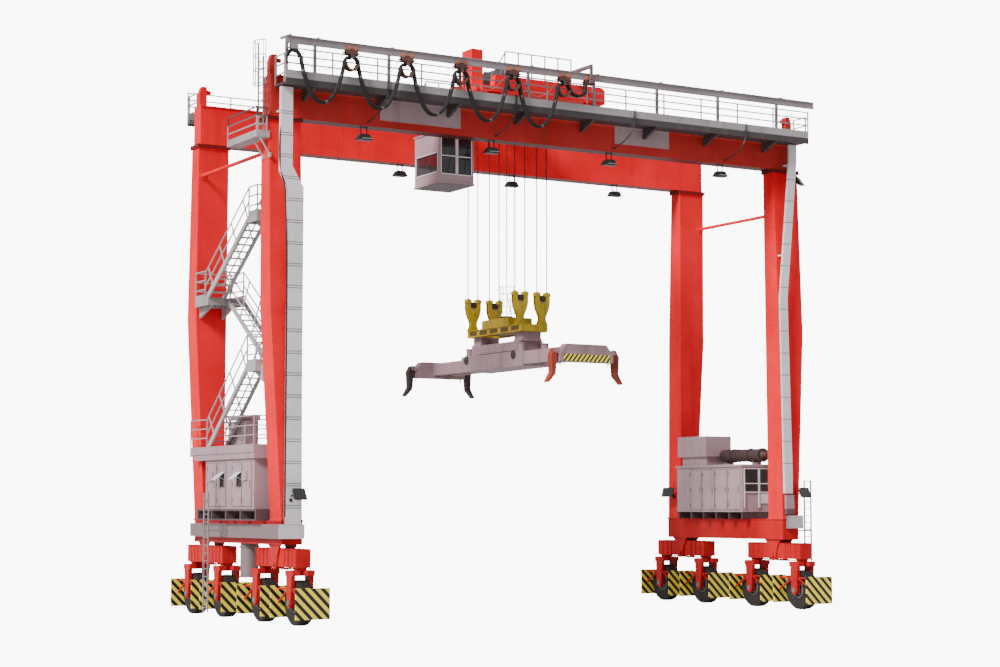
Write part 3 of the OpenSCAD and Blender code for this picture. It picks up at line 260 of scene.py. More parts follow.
# %% From parts to a finished piece
def copies(master, places):
    """Copies of a modelled part, each with its own mesh, moved or turned to its place."""
    made = []
    for place in places:
        o = bpy.data.objects.new(master.name, master.data.copy())
        bpy.context.collection.objects.link(o)
        move = place if isinstance(place, Matrix) else Matrix.Translation(place)
        o.data.transform(move)
        if move.determinant() < 0:
            o.data.flip_normals()
        made.append(o)
    return made

def drop(*objects):
    for o in objects:
        bpy.data.objects.remove(o)

def moved(master, places):
    """Copies of a part that isn't needed itself."""
    made = copies(master, places)
    drop(master)
    return made

def assemble(name, parts, smooth=None):
    """Joins parts, keeps the material that each one has, and names the piece."""
    only(*parts)
    if len(parts) > 1:
        bpy.ops.object.join()
    o = settle(bpy.context.object)
    if smooth:
        bpy.ops.object.shade_smooth_by_angle(angle=math.radians(smooth))
    o.name = name
    o.data.name = name
    return o

def painted(parts, finish):
    parts = parts if isinstance(parts, list) else [parts]
    for o in parts:
        o.data.materials.clear()
        o.data.materials.append(finish)
    return parts

def fasten(piece, body, slot, *stands_for):
    """Makes a piece ride with its body and hides the CAD parts that it stands for. The slot is not used."""
    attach(piece, body)
    if stands_for:
        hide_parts(*stands_for)

def dress(name, body, slot, *groups, smooth=None):
    """One piece of several groups, each a list of parts and their finish, fastened to a body."""
    fasten(assemble(name, [o for parts, finish in groups for o in painted(parts, finish)], smooth), body, slot)

print("helpers ready")

# %% [markdown]
# ## Materials as Python expressions
# A shader is a small sum of textures. Instead of laying out nodes by hand, one class wraps a socket so
# that `+`, `-` and `*` add the Math nodes. Patterns read Object coordinates, which are metres in the
# crane's own frame, so streaks run straight down whichever piece they are on.

# %% A socket that Python can calculate with
class Socket:
    def __init__(self, tree, output):
        self.tree, self.output = tree, output

    def math(self, operation, *others, **settings):
        return add_node(self.tree, "ShaderNodeMath", {"operation": operation, **settings},
                        {0: self, **dict(enumerate(others, 1))})

    def __add__(self, other): return self.math("ADD", other)
    __radd__ = __add__
    def __mul__(self, other): return self.math("MULTIPLY", other)
    __rmul__ = __mul__
    def __sub__(self, other): return self.math("SUBTRACT", other)
    def __rsub__(self, other):
        return add_node(self.tree, "ShaderNodeMath", {"operation": "SUBTRACT"}, {0: other, 1: self})
    def clip(self): return self.math("ADD", 0.0, use_clamp=True)
    def above(self, edge, soft=0.001): return ((self - edge) * (1 / soft)).clip()
    def below(self, edge, soft=0.001): return ((edge - self) * (1 / soft)).clip()

def add_node(tree, kind, settings=None, inputs=None, out=0):
    """Adds any node: its settings first, then the values or links of its sockets."""
    node = tree.nodes.new(kind)
    for key, value in (settings or {}).items():
        setattr(node, key, value)
    for key, value in (inputs or {}).items():
        if isinstance(value, Socket):
            tree.links.new(value.output, node.inputs[key])
        else:
            node.inputs[key].default_value = value
    return Socket(tree, node.outputs[out])

class Finish:
    """A Principled material with the textures that most of the crane's finishes share."""
    def __init__(self, name, roughness=0.5, metallic=0.0, **constants):
        self.material = bpy.data.materials.new(name)
        self.material.use_nodes = True
        self.tree = self.material.node_tree
        self.shader = next(n for n in self.tree.nodes if n.type == "BSDF_PRINCIPLED")
        self.shader.inputs["Roughness"].default_value = roughness
        self.shader.inputs["Metallic"].default_value = metallic
        for key, value in constants.items():
            self.shader.inputs[key.replace("_", " ")].default_value = value
        self.point = add_node(self.tree, "ShaderNodeTexCoord", out="Object")
        split = add_node(self.tree, "ShaderNodeSeparateXYZ", inputs={0: self.point}).output.node
        self.x, self.y, self.z = (Socket(self.tree, o) for o in split.outputs)

    def noise(self, scale, detail=2.0, stretch=(1, 1, 1)):
        spot = add_node(self.tree, "ShaderNodeMapping", inputs={"Vector": self.point, "Scale": stretch})
        return add_node(self.tree, "ShaderNodeTexNoise", None,
                        {"Vector": spot, "Scale": scale, "Detail": detail, "Roughness": 0.6})

    def mix(self, share, first, second):
        first, second = (c if isinstance(c, Socket) else (*c, 1) for c in (first, second))
        return add_node(self.tree, "ShaderNodeMix", {"data_type": "RGBA"}, {0: share, 6: first, 7: second}, out=2)

    def feed(self, key, value):
        self.tree.links.new(value.output, self.shader.inputs[key])

    def wire(self, colour, roughness=None, bump=None, strength=0.3, distance=0.01):
        self.feed("Base Color", colour)
        if roughness is not None:
            self.feed("Roughness", roughness)
        if bump is not None:
            self.feed("Normal", add_node(self.tree, "ShaderNodeBump", None,
                                         {"Strength": strength, "Distance": distance, "Height": bump},
                                         out="Normal"))
        return self.material

# %% [markdown]
# ## Yard paint
# Steelwork in a port is sprayed once and then lives outdoors. Its colour wanders a little over a metre,
# rain draws grey streaks down from every ledge, soot and dust gather low down, and the orange peel of the
# spray breaks the gloss. On the reds this darkening low down is painted shade as well as dirt. One function
# makes all the paints, so they age alike. A second colour goes where the photograph shows one solid in two
# colours or in deep shade.

# %% Paint
def yard_paint(name, colour, grime_and_shade=(0.10, 0.07, 0.06), low_darkening=0.35, low=3.0, roughness=0.42, streak=0.3,
               wander=0.12, gloss=0.5, second=None, where=None):
    f = Finish(name, roughness, Specular_IOR_Level=gloss)
    clouds = f.noise(0.35, 3.0)
    fine = f.noise(6.0, 4.0)
    runs = f.noise(2.2, 3.0, (1.0, 1.0, 0.06))
    lighter = tuple(min(1.0, c * (1 + wander) + 0.01) for c in colour)
    darker = tuple(c * (1 - 1.6 * wander) for c in colour)
    base = f.mix(clouds.above(0.35, 0.35), darker, lighter)
    if second:
        base = f.mix(where(f), base, second)
    streaks = runs.above(0.52, 0.25) * streak
    # Darker towards the bottom: dust, and on the reds also painted shade low down.
    low_dust_and_shade = f.z.below(low + 2.0, 3.0) * fine.above(0.38, 0.3) * low_darkening
    surface_colour = f.mix((streaks + low_dust_and_shade).clip(), base, grime_and_shade)
    return f.wire(surface_colour, roughness - 0.06 + fine * 0.16, fine, 0.08, 0.004)

# %% Where a paint has its second colour
def flange_band(f):
    """A darker band round the joint between legs and girders, over the flanges."""
    return f.z.above(18.90, 0.01) * f.z.below(19.06, 0.01)

def tow_arm(f):
    return f.y.below(-4.05, 0.01)

def beam_shade_and_cab_band(f):
    """Painted shade: the beams under the electric house are dark for the shaded gaps between them. A dark band runs
    under the cab's windows.
    """
    return f.z.below(4.28, 0.02) + f.z.above(17.0) * f.z.below(17.32, 0.01)

# Painted shade: the walkway's skirt and brackets below the deck are darker.
def fascia_shade(f):
    return f.z.below(20.36, 0.03) * f.z.above(19.0)

# Painted shadow: grey sheet low on the sills, behind the casing's face, is darker where the houses above shade it.
def sill_shadow(f):
    return f.z.below(4.0) * f.y.above(-4.43, 0.01)

def first_saddle(f):
    """The end of the festoon track, where the cable lies on its first saddle."""
    return f.x.below(-11.9) * f.y.below(-4.9) * f.z.below(21.39) * f.z.above(20.85)

def under_rollers(f):
    return f.z.below(21.30, 0.05)

def rear_half(f):
    return f.y.above(0.0)

def silencer_and_base(f):
    return f.z.above(6.30) * f.y.below(0.52) + f.z.below(4.13, 0.02)

portal_red = yard_paint("portal_red", (0.90, 0.003, 0.014), (0.34, 0.008, 0.010), 0.35, 5.0, 0.38, 0.30,
                        0.08, 0.12, (0.16, 0.012, 0.012), flange_band)
shaded_red = yard_paint("shaded_red", (0.50, 0.024, 0.020), (0.20, 0.018, 0.016), 0.0, 5.0, 0.42, 0.35,
                        0.10, 0.12, (0.09, 0.014, 0.013), flange_band)
trolley_red = yard_paint("trolley_red", (0.92, 0.004, 0.014), (0.28, 0.01, 0.012), 0.1, 5.0, 0.35, 0.25,
                         0.08, 0.12, (0.16, 0.12, 0.125), tow_arm)
# A darker copy of the portal red for sills, bogies and forks: painted shade of the running gear low under the crane.
running_red = yard_paint("running_red", (0.56, 0.003, 0.006), (0.10, 0.02, 0.018), 0.55, 1.2, 0.36, 0.3,
                         0.15, 0.15)
mauve_grey = yard_paint("mauve_grey", (0.40, 0.265, 0.295), (0.15, 0.09, 0.095), 0.25, 4.5, 0.5, 0.35, 0.08,
                        second=(0.085, 0.055, 0.060), where=beam_shade_and_cab_band)
seam_mauve = yard_paint("seam_mauve", (0.20, 0.125, 0.14), (0.10, 0.06, 0.065), 0.1, 4.5, 0.55, 0.3, 0.1)
walkway_grey = yard_paint("walkway_grey", (0.36, 0.33, 0.335), (0.12, 0.10, 0.10), 0.1, 4.0, 0.55, 0.45,
                          second=(0.055, 0.042, 0.045), where=fascia_shade)
stair_grey = yard_paint("stair_grey", (0.42, 0.39, 0.40), (0.16, 0.13, 0.13), 0.1, 4.0, 0.5, 0.3, 0.10)
duct_grey = yard_paint("duct_grey", (0.74, 0.69, 0.73), (0.26, 0.22, 0.22), 0.15, 4.0, 0.45, 0.25, 0.07,
                       second=(0.20, 0.145, 0.15), where=sill_shadow)
rail_grey = yard_paint("rail_grey", (0.30, 0.255, 0.265), (0.11, 0.08, 0.08), 0.1, 4.0, 0.45, 0.2, 0.10,
                       second=(0.015, 0.012, 0.012), where=first_saddle)
spreader_grey = yard_paint("spreader_grey", (0.32, 0.200, 0.225), (0.10, 0.06, 0.065), 0.0, 0.0, 0.5, 0.45)
head_yellow = yard_paint("head_yellow", (0.50, 0.34, 0.010), (0.07, 0.05, 0.012), 0.0, 0.0, 0.45, 0.8,
                         0.25, 0.3)
machine_grey = yard_paint("machine_grey", (0.16, 0.15, 0.15), (0.05, 0.04, 0.04), 0.1, 4.0, 0.45, 0.3, 0.15)
lamp_black = yard_paint("lamp_black", (0.02, 0.018, 0.018), (0.06, 0.05, 0.05), 0.1, 4.0, 0.4, 0.2, 0.2)
roller_orange = yard_paint("roller_orange", (0.55, 0.12, 0.05), (0.10, 0.03, 0.025), 0.0, 0.0, 0.45, 0.6,
                           0.25, second=(0.10, 0.035, 0.025), where=under_rollers)
flipper_orange = yard_paint("flipper_orange", (0.34, 0.040, 0.018), (0.06, 0.02, 0.015), 0.0, 0.0, 0.45,
                            0.5, 0.2, 0.3, (0.030, 0.022, 0.020), rear_half)
shoe_orange = yard_paint("shoe_orange", (0.85, 0.10, 0.03), (0.25, 0.04, 0.02), 0.0, 0.0, 0.45, 0.3, 0.2, 0.3)
# Near-black for rubber pads and pulleys; in vents and grilles it is painted shade of the openings behind them.
near_black_and_shade = yard_paint("near_black_and_shade", (0.030, 0.022, 0.024), (0.06, 0.05, 0.05), 0.1, 4.0, 0.6, 0.2, 0.2)
soot_black = yard_paint("soot_black", (0.055, 0.028, 0.028), (0.12, 0.07, 0.065), 0.0, 0.0, 0.55, 0.6, 0.25)
pack_grey = yard_paint("pack_grey", (0.42, 0.285, 0.315), (0.15, 0.09, 0.095), 0.25, 4.5, 0.5, 0.35, 0.08,
                       second=(0.050, 0.026, 0.026), where=silencer_and_base)
head_shade = yard_paint("head_shade", (0.10, 0.065, 0.008), (0.05, 0.03, 0.01), 0.0, 0.0, 0.5, 0.5, 0.2, 0.3)
hook_dark = yard_paint("hook_dark", (0.10, 0.035, 0.03), (0.04, 0.02, 0.02), 0.0, 0.0, 0.5, 0.5, 0.25)
rim_grey = yard_paint("rim_grey", (0.20, 0.17, 0.165), (0.08, 0.05, 0.04), 0.6, 1.5, 0.5, 0.3, 0.15)
tape_grey = yard_paint("tape_grey", (0.10, 0.085, 0.085), (0.14, 0.11, 0.11), 0.0, 0.0, 0.6, 0.2, 0.1)
print("paints made:", len(bpy.data.materials))

# %% [markdown]
# ## Rubber, steel, glass and hazard stripes
# Tyres and cable sheaths are nearly black with a dusty bloom. Ropes and rails are bare steel that has
# greased or rusted. The guard boards carry the usual black and yellow warning stripes: a saw-tooth of
# x plus z makes them, so they run on from one board to the next.

# %% Rubber, steel and glass
def rubber(name, colour, dust):
    f = Finish(name, 0.7)
    bloom = f.noise(3.0, 4.0)
    surface_colour = f.mix(bloom.above(0.4, 0.3) * 0.6, colour, dust)
    return f.wire(surface_colour, 0.6 + bloom * 0.25, f.noise(40.0, 2.0), 0.15, 0.003)

def bare_steel(name, colour, rust, share, roughness=0.4, metallic=0.8):
    f = Finish(name, roughness, metallic)
    patches = f.noise(5.0, 5.0)
    return f.wire(f.mix(patches.above(0.5, 0.2) * share, colour, rust), roughness + patches * 0.2)

def window_glass(name, colour, roughness=0.06):
    f = Finish(name, roughness, IOR=1.5, Coat_Weight=0.6)
    clouded = f.mix(f.noise(1.2, 2.0).above(0.4, 0.4), colour, tuple(c * 1.8 for c in colour))
    return f.wire(clouded, roughness + f.noise(3.0) * 0.08)

def stripes(name, width, slope, yellow=(0.95, 0.76, 0.04), black=(0.008, 0.007, 0.007)):
    """Warning stripes that fall with the slope along x and z."""
    f = Finish(name, 0.45)
    saw = ((f.x + f.z * slope) * (1 / width)).math("FRACT")
    scuff = f.noise(9.0, 4.0).above(0.62, 0.1) * 0.4
    bare = f.mix(saw.above(0.5, 0.012), yellow, black)
    return f.wire(f.mix(scuff, bare, (0.16, 0.12, 0.09)), 0.4 + f.noise(4.0) * 0.2)

cable_black = rubber("cable_black", (0.006, 0.005, 0.005), (0.018, 0.014, 0.013))
tyre_black = rubber("tyre_black", (0.008, 0.006, 0.006), (0.030, 0.024, 0.021))
rope_steel = bare_steel("rope_steel", (0.022, 0.018, 0.018), (0.018, 0.010, 0.009), 0.7, 0.55, 0.2)
bolt_steel = bare_steel("bolt_steel", (0.45, 0.42, 0.40), (0.20, 0.08, 0.04), 0.5)
cab_glass = window_glass("cab_glass", (0.022, 0.020, 0.022))
lamp_glass = window_glass("lamp_glass", (0.50, 0.50, 0.48), 0.12)
guard_stripes = stripes("guard_stripes", 0.38, 1.0)
beam_stripes = stripes("beam_stripes", 0.20, -0.8)
print("materials:", len(bpy.data.materials))

# %% [markdown]
# ## The festoon cable
# Power and signals reach the trolley through a festoon: a bundle of rubber cables that hangs in loops
# under small carriers, so it never pulls while the trolley travels. Two bundles 110 mm thick hang side by
# side, seven cables in each, held by tape. Each loop of each bundle is its own piece that hangs between
# its two carriers and lies over their arched saddles.

# %% The line of each loop
TRACK_Y, SADDLE_Z, TRACK_Z = -5.13, 21.08, 21.6
CLAMP_X, TOW_X, TOW_CABLE_X, PITCH, LOOP_R = -12.2375, 0.88, 0.70, 2.385, 0.29
LAST = 5
BUNDLE = 0.11
CORE = BUNDLE / 6 - 0.0004
SEAT_GAP = 0.0003

def loop_ends(k):
    """Where loop k leaves its left saddle and where it meets the next one."""
    left = CLAMP_X + k * PITCH
    return left + LOOP_R, TOW_CABLE_X if k == LAST else left + PITCH - LOOP_R

def loop_line(k, y):
    """Points along loop k: off one saddle, down and up again, and onto the next."""
    e0, e1 = loop_ends(k)
    depth = 0.16 if k == LAST else 1.6
    points = []
    if k:
        points = [(e0 - LOOP_R + LOOP_R * math.sin(a), y, SADDLE_Z + LOOP_R * math.cos(a))
                  for a in (math.radians(t) for t in range(0, 90, 15))]
    for a in between(0, math.pi, 25):
        x = (e0 + e1) / 2 - (e1 - e0) / 4 * (math.cos(a) + 1 - 2 * a / math.pi)
        points.append((x, y, SADDLE_Z - SEAT_GAP - depth * math.sin(a)))
    if k == LAST:
        return points + [(e1, y, SADDLE_Z + 0.3)]
    return points + [(e1 + LOOP_R - LOOP_R * math.cos(a), y, SADDLE_Z + LOOP_R * math.sin(a))
                     for a in (math.radians(t) for t in range(15, 91, 15))]

def length_of(line):
    return sum((Vector(b) - Vector(a)).length for a, b in zip(line, line[1:]))

# %% Loops of seven cables, with tape round them
def festoon_loop(k, side):
    y = TRACK_Y + side * 0.062
    line = loop_line(k, y)
    strands = painted(tube_along(line, CORE, 8), cable_black)
    for a in (math.pi * j / 3 for j in range(1, 7)):
        strands += painted(tube_along(line, CORE, 8, 2 * CORE * math.cos(a), 2 * CORE * math.sin(a)), cable_black)
    low = min(range(len(line)), key=lambda i: line[i][2])
    for at in ([low] if k == LAST else [low + 1, low + 9, low - 10]):
        tape = tape_grey if at == low + 1 else lamp_black
        strands += painted(tube_along(line[at:at + 2], BUNDLE / 2 - 0.0005, 16), tape)
    loop = assemble(f"festoon_loop_{k + 1}_{'a' if side < 0 else 'b'}", strands)
    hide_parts("festoon_cable")
    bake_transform(loop)
    return round(length_of(line), 2)

for k in range(LAST + 1):
    print("loop", k + 1, "length", [festoon_loop(k, side) for side in SIDES])

# %% [markdown]
# ## Tow ropes and hoist ropes
# A thin steel rope between neighbouring carriers takes the pull, so the cables never do. It hangs in a
# shallower bow beside them. Eight hoist ropes run from the sheave blocks up into the trolley. A rope is
# laid from strands, so a tube with a twisted, lobed section shows the lay where the light catches it.

# %% Tow ropes
CLAMP_HOOK, CARRIER_HOOK, TOW_HOOK = 0.155, 0.255, 0.225

def tow_line(k):
    a = CLAMP_X + k * PITCH + (CARRIER_HOOK if k else CLAMP_HOOK)
    b = TOW_X - TOW_HOOK if k == LAST else CLAMP_X + (k + 1) * PITCH - CARRIER_HOOK
    sag = 0.15 if k == LAST else 0.75
    return [(a + (b - a) * t, TRACK_Y + 0.1, TRACK_Z - 0.12 - sag * 4 * t * (1 - t)) for t in between(0, 1, 21)]

for k in range(LAST + 1):
    line = tow_line(k)
    rope = assemble(f"tow_rope_{k + 1}", painted(tube_along(line, 0.009, 6), rail_grey))
    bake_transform(rope)
print("tow ropes made")

# %% Hoist ropes
TROLLEY_X, ROPE_LOW, ROPE_HIGH = 0.06, 12.60, 21.10
ROPE_R, ROPE_LAY = 0.026, 0.55
FALL_X = 0.24
BLOCKS = [(TROLLEY_X + b * 0.53, s * 1.95) for s in SIDES for b in SIDES]

def laid_rope(x, y, sides=18, steps=60):
    """An upright rope of six lobes that turn as they rise."""
    points = []
    for z in between(ROPE_LOW, ROPE_HIGH, steps + 1):
        twist = (z - ROPE_LOW) / ROPE_LAY * math.tau
        for a in (math.tau * j / sides for j in range(sides)):
            r = ROPE_R * (0.9 + 0.1 * math.cos(6 * a))
            points.append((x + r * math.cos(a + twist), y + r * math.sin(a + twist), z))
    return tube_over(points, sides)

falls = [(x + f * FALL_X, y) for x, y in BLOCKS for f in SIDES]
for i, (x, y) in enumerate(falls, 1):
    rope = assemble(f"hoist_rope_{i}", painted(laid_rope(x, y), rope_steel), smooth=60)
    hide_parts("hoist_ropes")
    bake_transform(rope)
print("hoist ropes:", len(falls))

# %% [markdown]
# ## Paint on the carried-over steelwork
# A CAD node keeps its shape and only gets a material. Where one solid has two finishes, such as the cable
# that lies on the first saddle, the material chooses by place.

# %% Materials of the CAD nodes
def coat(material, *patterns):
    for pattern in patterns:
        for name in fnmatch.filter(nodes, pattern):
            painted(nodes[name], material)

coat(portal_red, "leg_*", "girder_rear")
coat(shaded_red, "girder_front")
coat(running_red, "sill_*", "bogie*", "fork*")
coat(walkway_grey, "walkways", "landings")
coat(stair_grey, "stair_flights")
coat(rail_grey, "walkway_railings", "ladders", "trolley_railing", "festoon_track")
coat(duct_grey, "cable_casing")
coat(mauve_grey, "electric_house", "cab")
coat(pack_grey, "power_pack")
coat(lamp_black, "floodlights")
coat(tyre_black, "wheel*")
coat(trolley_red, "trolley_frame")
coat(machine_grey, "hoist_machinery")
coat(roller_orange, "festoon_carrier*", "tow_carriage")
coat(head_yellow, "head_block")
coat(hook_dark, "cable_basket")
coat(spreader_grey, "spreader_*")
coat(flipper_orange, "flipper*")
coat(rope_steel, "hoist_ropes")
coat(cable_black, "festoon_cable")
print("coated", len(nodes), "nodes")

# %% [markdown]
# ## Tyres and rims
# The tyres are wide pneumatics with two rows of blocks. A turned profile gives the carcass in one go; the
# blocks are one bevelled block copied round the tread, half a step apart on the two sides. The rim is a
# second turned piece with a ring of wheel nuts. One wheel is modelled and then copied to its eight forks.

# %% One wheel
WHEEL_Z, SILL_X = 0.84, 11.735
WHEELS = [(f"{name}_{i}", side * SILL_X, y) for side, name in FLANKS
          for i, y in enumerate((4.975, 1.875, -1.875, -4.975), 1)]
LUGS, NUTS = 38, 12

def both_ways(half):
    """A profile from its left half: the same radii again, mirrored along the axle."""
    return half + [(radius, -along) for radius, along in reversed(half)]

def model_wheel():
    carcass = spun(both_ways([(0.30, -0.19), (0.42, -0.245), (0.58, -0.258), (0.71, -0.255), (0.785, -0.238),
                              (0.812, -0.20), (0.817, -0.02), (0.805, -0.012)]), (0, 0, 0), (1, 0, 0), 64)
    rim = spun(both_ways([(0.075, -0.16), (0.13, -0.17), (0.15, -0.12), (0.24, -0.10), (0.27, -0.13),
                          (0.30, -0.235), (0.345, -0.252), (0.352, -0.24), (0.325, -0.20)]),
               (0, 0, 0), (1, 0, 0), 48)
    lug = block((-0.232, -0.036, 0.79), (-0.025, 0.036, 0.8385), 0.008)
    for vertex in lug.data.vertices:
        if vertex.co.x < -0.2 and vertex.co.z > 0.82:
            vertex.co.z -= 0.014
    lugs = moved(lug, [turn(math.tau * (i + row / 2) / LUGS, "X") @ flip
                       for row, flip in enumerate((Matrix.Identity(4), MIRROR_X)) for i in range(LUGS)])
    nuts = moved(rod((-0.135, 0, 0.20), (-0.10, 0, 0.20), 0.016, 6),
                 [turn(math.tau * i / NUTS, "X") @ flip for i in range(NUTS)
                  for flip in (Matrix.Identity(4), MIRROR_X)])
    axle = rod((-0.485, 0, 0), (0.485, 0, 0), 0.0745, 24)
    caps = [rod((s * 0.455, 0, 0), (s * 0.488, 0, 0), 0.11, 8) for s in SIDES]
    return assemble("wheel_master", painted([carcass, *lugs], tyre_black) + painted([rim, axle, *caps], rim_grey)
                    + painted(nuts, bolt_steel), smooth=35)

wheel_master = model_wheel()
for name, x, y in WHEELS:
    (wheel,) = copies(wheel_master, [(x, y, WHEEL_Z)])
    wheel.name = f"tyre_{name}"
    fasten(wheel, f"wheel_{name}", "tyre_black", f"wheel_{name}")
drop(wheel_master)
print("wheels in place")

# %% [markdown]
# ## Guard boards
# Each fork carries a striped board before and behind its tyre, to push a foot or a cable aside. The real
# board is folded sheet: a shallow rim stands round a sunken face. The rim comes from an inset and a small
# extrusion of the outer face.

# %% Guard boards of the forks
board = sunken(block((-0.684, 1.066, 0.277), (0.684, 1.140, 1.414), 0.005), (0, 1, 0), 0.022, 0.006)
board_bolts = moved(rod((0, 1.056, 0), (0, 1.067, 0), 0.016, 6),
                    [(x, 0, z) for x in (-0.375, 0.375) for z in (0.9, 1.32)])
board_master = assemble("board_master", painted(board, guard_stripes) + painted(board_bolts, bolt_steel))
for name, x, y in WHEELS:
    pair = copies(board_master, [shift(x, y, 0), shift(x, y, 0) @ turn(math.pi, "Z")])
    fasten(assemble(f"guard_boards_{name}", pair), f"fork_{name}", "running_red")
drop(board_master)
print("guard boards in place")

# %% [markdown]
# ## Festoon carriers
# A carrier runs inside the track on four flanged rollers and hangs an arched saddle under it. The rollers
# and the saddle are bright orange, the plates between them are dark, and rubber buffers stick out at both
# ends so that parked carriers do not bang together.

# %% One carrier
ROLLER_Z, BUFFER_Z = 21.6793, 21.50
ROLLER = [(0.02, 0.0), (0.084, 0.0), (0.090, 0.006), (0.090, 0.016), (0.070, 0.024), (0.055, 0.014),
          (0.035, 0.014), (0.03, 0.03), (0.0, 0.032), (0.0, 0.0)]
SADDLE = [(0.206, -0.132), (0.206, 0.132), (0.275, 0.132), (0.275, 0.122), (0.230, 0.122),
          (0.230, -0.122), (0.275, -0.122), (0.275, -0.132)]

def bar_y(x, z, y0, y1, radius, sides):
    """A round bar along y."""
    return rod((x, y0, z), (x, y1, z), radius, sides)

def bar_x(y, z, x0, x1, radius, sides):
    """A round bar along x."""
    return rod((x0, y, z), (x1, y, z), radius, sides)

def model_carrier(half, with_saddle=True):
    """A carrier about x = 0, y = 0, at its real height."""
    dark, orange, steel = [], [], []
    for s in SIDES:
        dark.append(block((-half, s * 0.075, 21.43), (half, s * 0.095, 21.66), 0.004))
        for k in SIDES:
            x = k * (half - 0.08)
            orange.append(spun(ROLLER, (x, s * 0.096, ROLLER_Z), (0, s, 0), 24))
            orange.append(bar_y(x, ROLLER_Z, s * 0.02, s * 0.055, 0.0545, 24))
            steel.append(bar_y(x, ROLLER_Z, s * 0.05, s * 0.132, 0.016, 6))
            dark.append(bar_x(s * 0.05, BUFFER_Z, k * half, k * (half + 0.06), 0.014, 10))
            dark.append(bar_x(s * 0.05, BUFFER_Z, k * (half + 0.045), k * (half + 0.085), 0.03, 12))
    dark.append(block((-half, -0.095, 21.425), (half, 0.095, 21.455), 0.004))
    if with_saddle:
        orange.append(arch(SADDLE, (0, 0, SADDLE_Z)))
        for s in SIDES:
            dark.append(block((-0.07, s * 0.132, 21.27), (0.07, s * 0.144, 21.45), 0.003))
            steel += [bar_y(x, 21.30, s * 0.144, s * 0.156, 0.014, 6) for x in (-0.045, 0.045)]
        dark.append(block((-0.12, -0.144, 21.437), (0.12, 0.144, 21.452), 0.003))
    return painted(dark, hook_dark) + painted(orange, roller_orange) + painted(steel, bolt_steel)

carrier_master = assemble("carrier_master", model_carrier(0.25), smooth=40)
for i in range(1, 6):
    (carrier,) = copies(carrier_master, [(CLAMP_X + i * PITCH, TRACK_Y, 0)])
    carrier.name = f"carrier_{i}"
    fasten(carrier, f"festoon_carrier_{i}", "carrier_orange", f"festoon_carrier_{i}")
drop(carrier_master)
print("carriers in place")

# %% Tow carriage, clamped to the trolley's arm
clamps = [block((-0.24, k * 0.05, 21.36), (-0.12, k * 0.075, 21.43), 0.004) for k in SIDES]
steel = [ring((-0.18, 0, z), 0.058, 0.008, sides=20) for z in (21.16, 21.34)]
steel += [bar_y(0, 21.54, -0.23, -0.08, 0.024, 16), bar_y(0, 21.54, -0.236, -0.226, 0.04, 6)]
parts = model_carrier(0.22, with_saddle=False) + painted(clamps, hook_dark) + painted(steel, bolt_steel)
(tow,) = moved(assemble("tow_master", parts, smooth=40), [(TOW_X, TRACK_Y, 0)])
tow.name = "tow_carrier"
fasten(tow, "tow_carriage", "carrier_orange", "tow_carriage")
print("tow carriage in place")

# %% [markdown]
# ## Bolts
# Box sections meet at flanges with rows of bolts. A bolt head with its washer is modelled once, and a row
# is a list of places, so a flange with thirty bolts stays one small piece.

# %% Bolt rows
def bolt_rows(name, rows, size, finish):
    """rows: (axis, list of points). All heads become one piece of the portal."""
    heads = []
    for axis, points in rows:
        way = Vector(axis) * size
        head = assemble("bolt", [rod((0, 0, 0), way * 0.25, size * 1.25, 12), rod(way * 0.25, way * 0.95, size, 6)])
        heads += moved(head, points)
    dress(name, "gantry", "portal_red", (heads, finish))

GIRDER_Y, GIRDER_TOP = 3.47, 20.65
rows = []
for side in SIDES:
    flange_x = between(side * (SILL_X - 0.44), side * (SILL_X + 0.93), 12)
    for y in (s * GIRDER_Y + dy for s in SIDES for dy in (-0.395, 0.395)):
        rows += [((0, 0, way), [(x, y, z) for x in flange_x]) for way, z in ((-1, 18.91), (1, 19.05))]
bolt_rows("leg_head_bolts", rows, 0.026, portal_red)
print("leg head bolts in place")

# %% [markdown]
# ## Name boards, web seams and rail clips
# The front girder carries two bare grey boards. The webs are welded from plates, so thin weld beads run
# down them every few metres. Clips on both sides hold the trolley's rail on the top flange.

# %% Boards, seams and clips on the girders
for n, (x0, x1, z0, z1) in enumerate([(-7.95, -4.35, 19.33, 20.42), (3.02, 5.78, 19.42, 20.30)], 1):
    panel = sunken(block((x0, -3.836, z0), (x1, -3.8205, z1), 0.004), (0, -1, 0), 0.03, 0.004)
    screws = [bar_y(x, z, -3.836, -3.842, 0.014, 8)
              for x in between(x0 + 0.05, x1 - 0.05, 9) for z in (z0 + 0.05, z1 - 0.05)]
    dress(f"bare_name_board_{n}", "gantry", "housing_grey", (panel, mauve_grey), (screws, bolt_steel))

seams = []
for y in (s * GIRDER_Y + web * 0.35 for s in SIDES for web in SIDES):
    seams += [block((x - 0.012, y - 0.005, 19.06), (x + 0.012, y + 0.005, 20.62), 0.003)
              for x in (-9.4, -6.2, -3.1, 0.0, 3.1, 6.2, 9.4)]
    seams.append(block((-12.4, y - 0.007, 19.05), (12.4, y + 0.007, 19.066), 0.003))
dress("girder_weld_seams", "gantry", "portal_red", (seams, portal_red))

clip = plate([(-0.045, 0), (0.045, 0), (0.045, 0.014), (0.0, 0.03), (-0.045, 0.045)], 0.06, turn(math.pi / 2, "X"))
clips = moved(clip, [shift(x, s * GIRDER_Y + side * 0.08, GIRDER_TOP) @ turn(angle, "Z")
                     for s in SIDES for side, angle in ((-1, 0), (1, math.pi))
                     for x in between(-11.8, 11.8, 60)])
dress("rail_clips", "gantry", "rope_steel", (clips, bolt_steel))
print("girder details in place")

# %% [markdown]
# ## Pipes of the front floodlights
# The front floodlights hang on bent pipes that come over the skirt of the walkway and down under the
# girder.

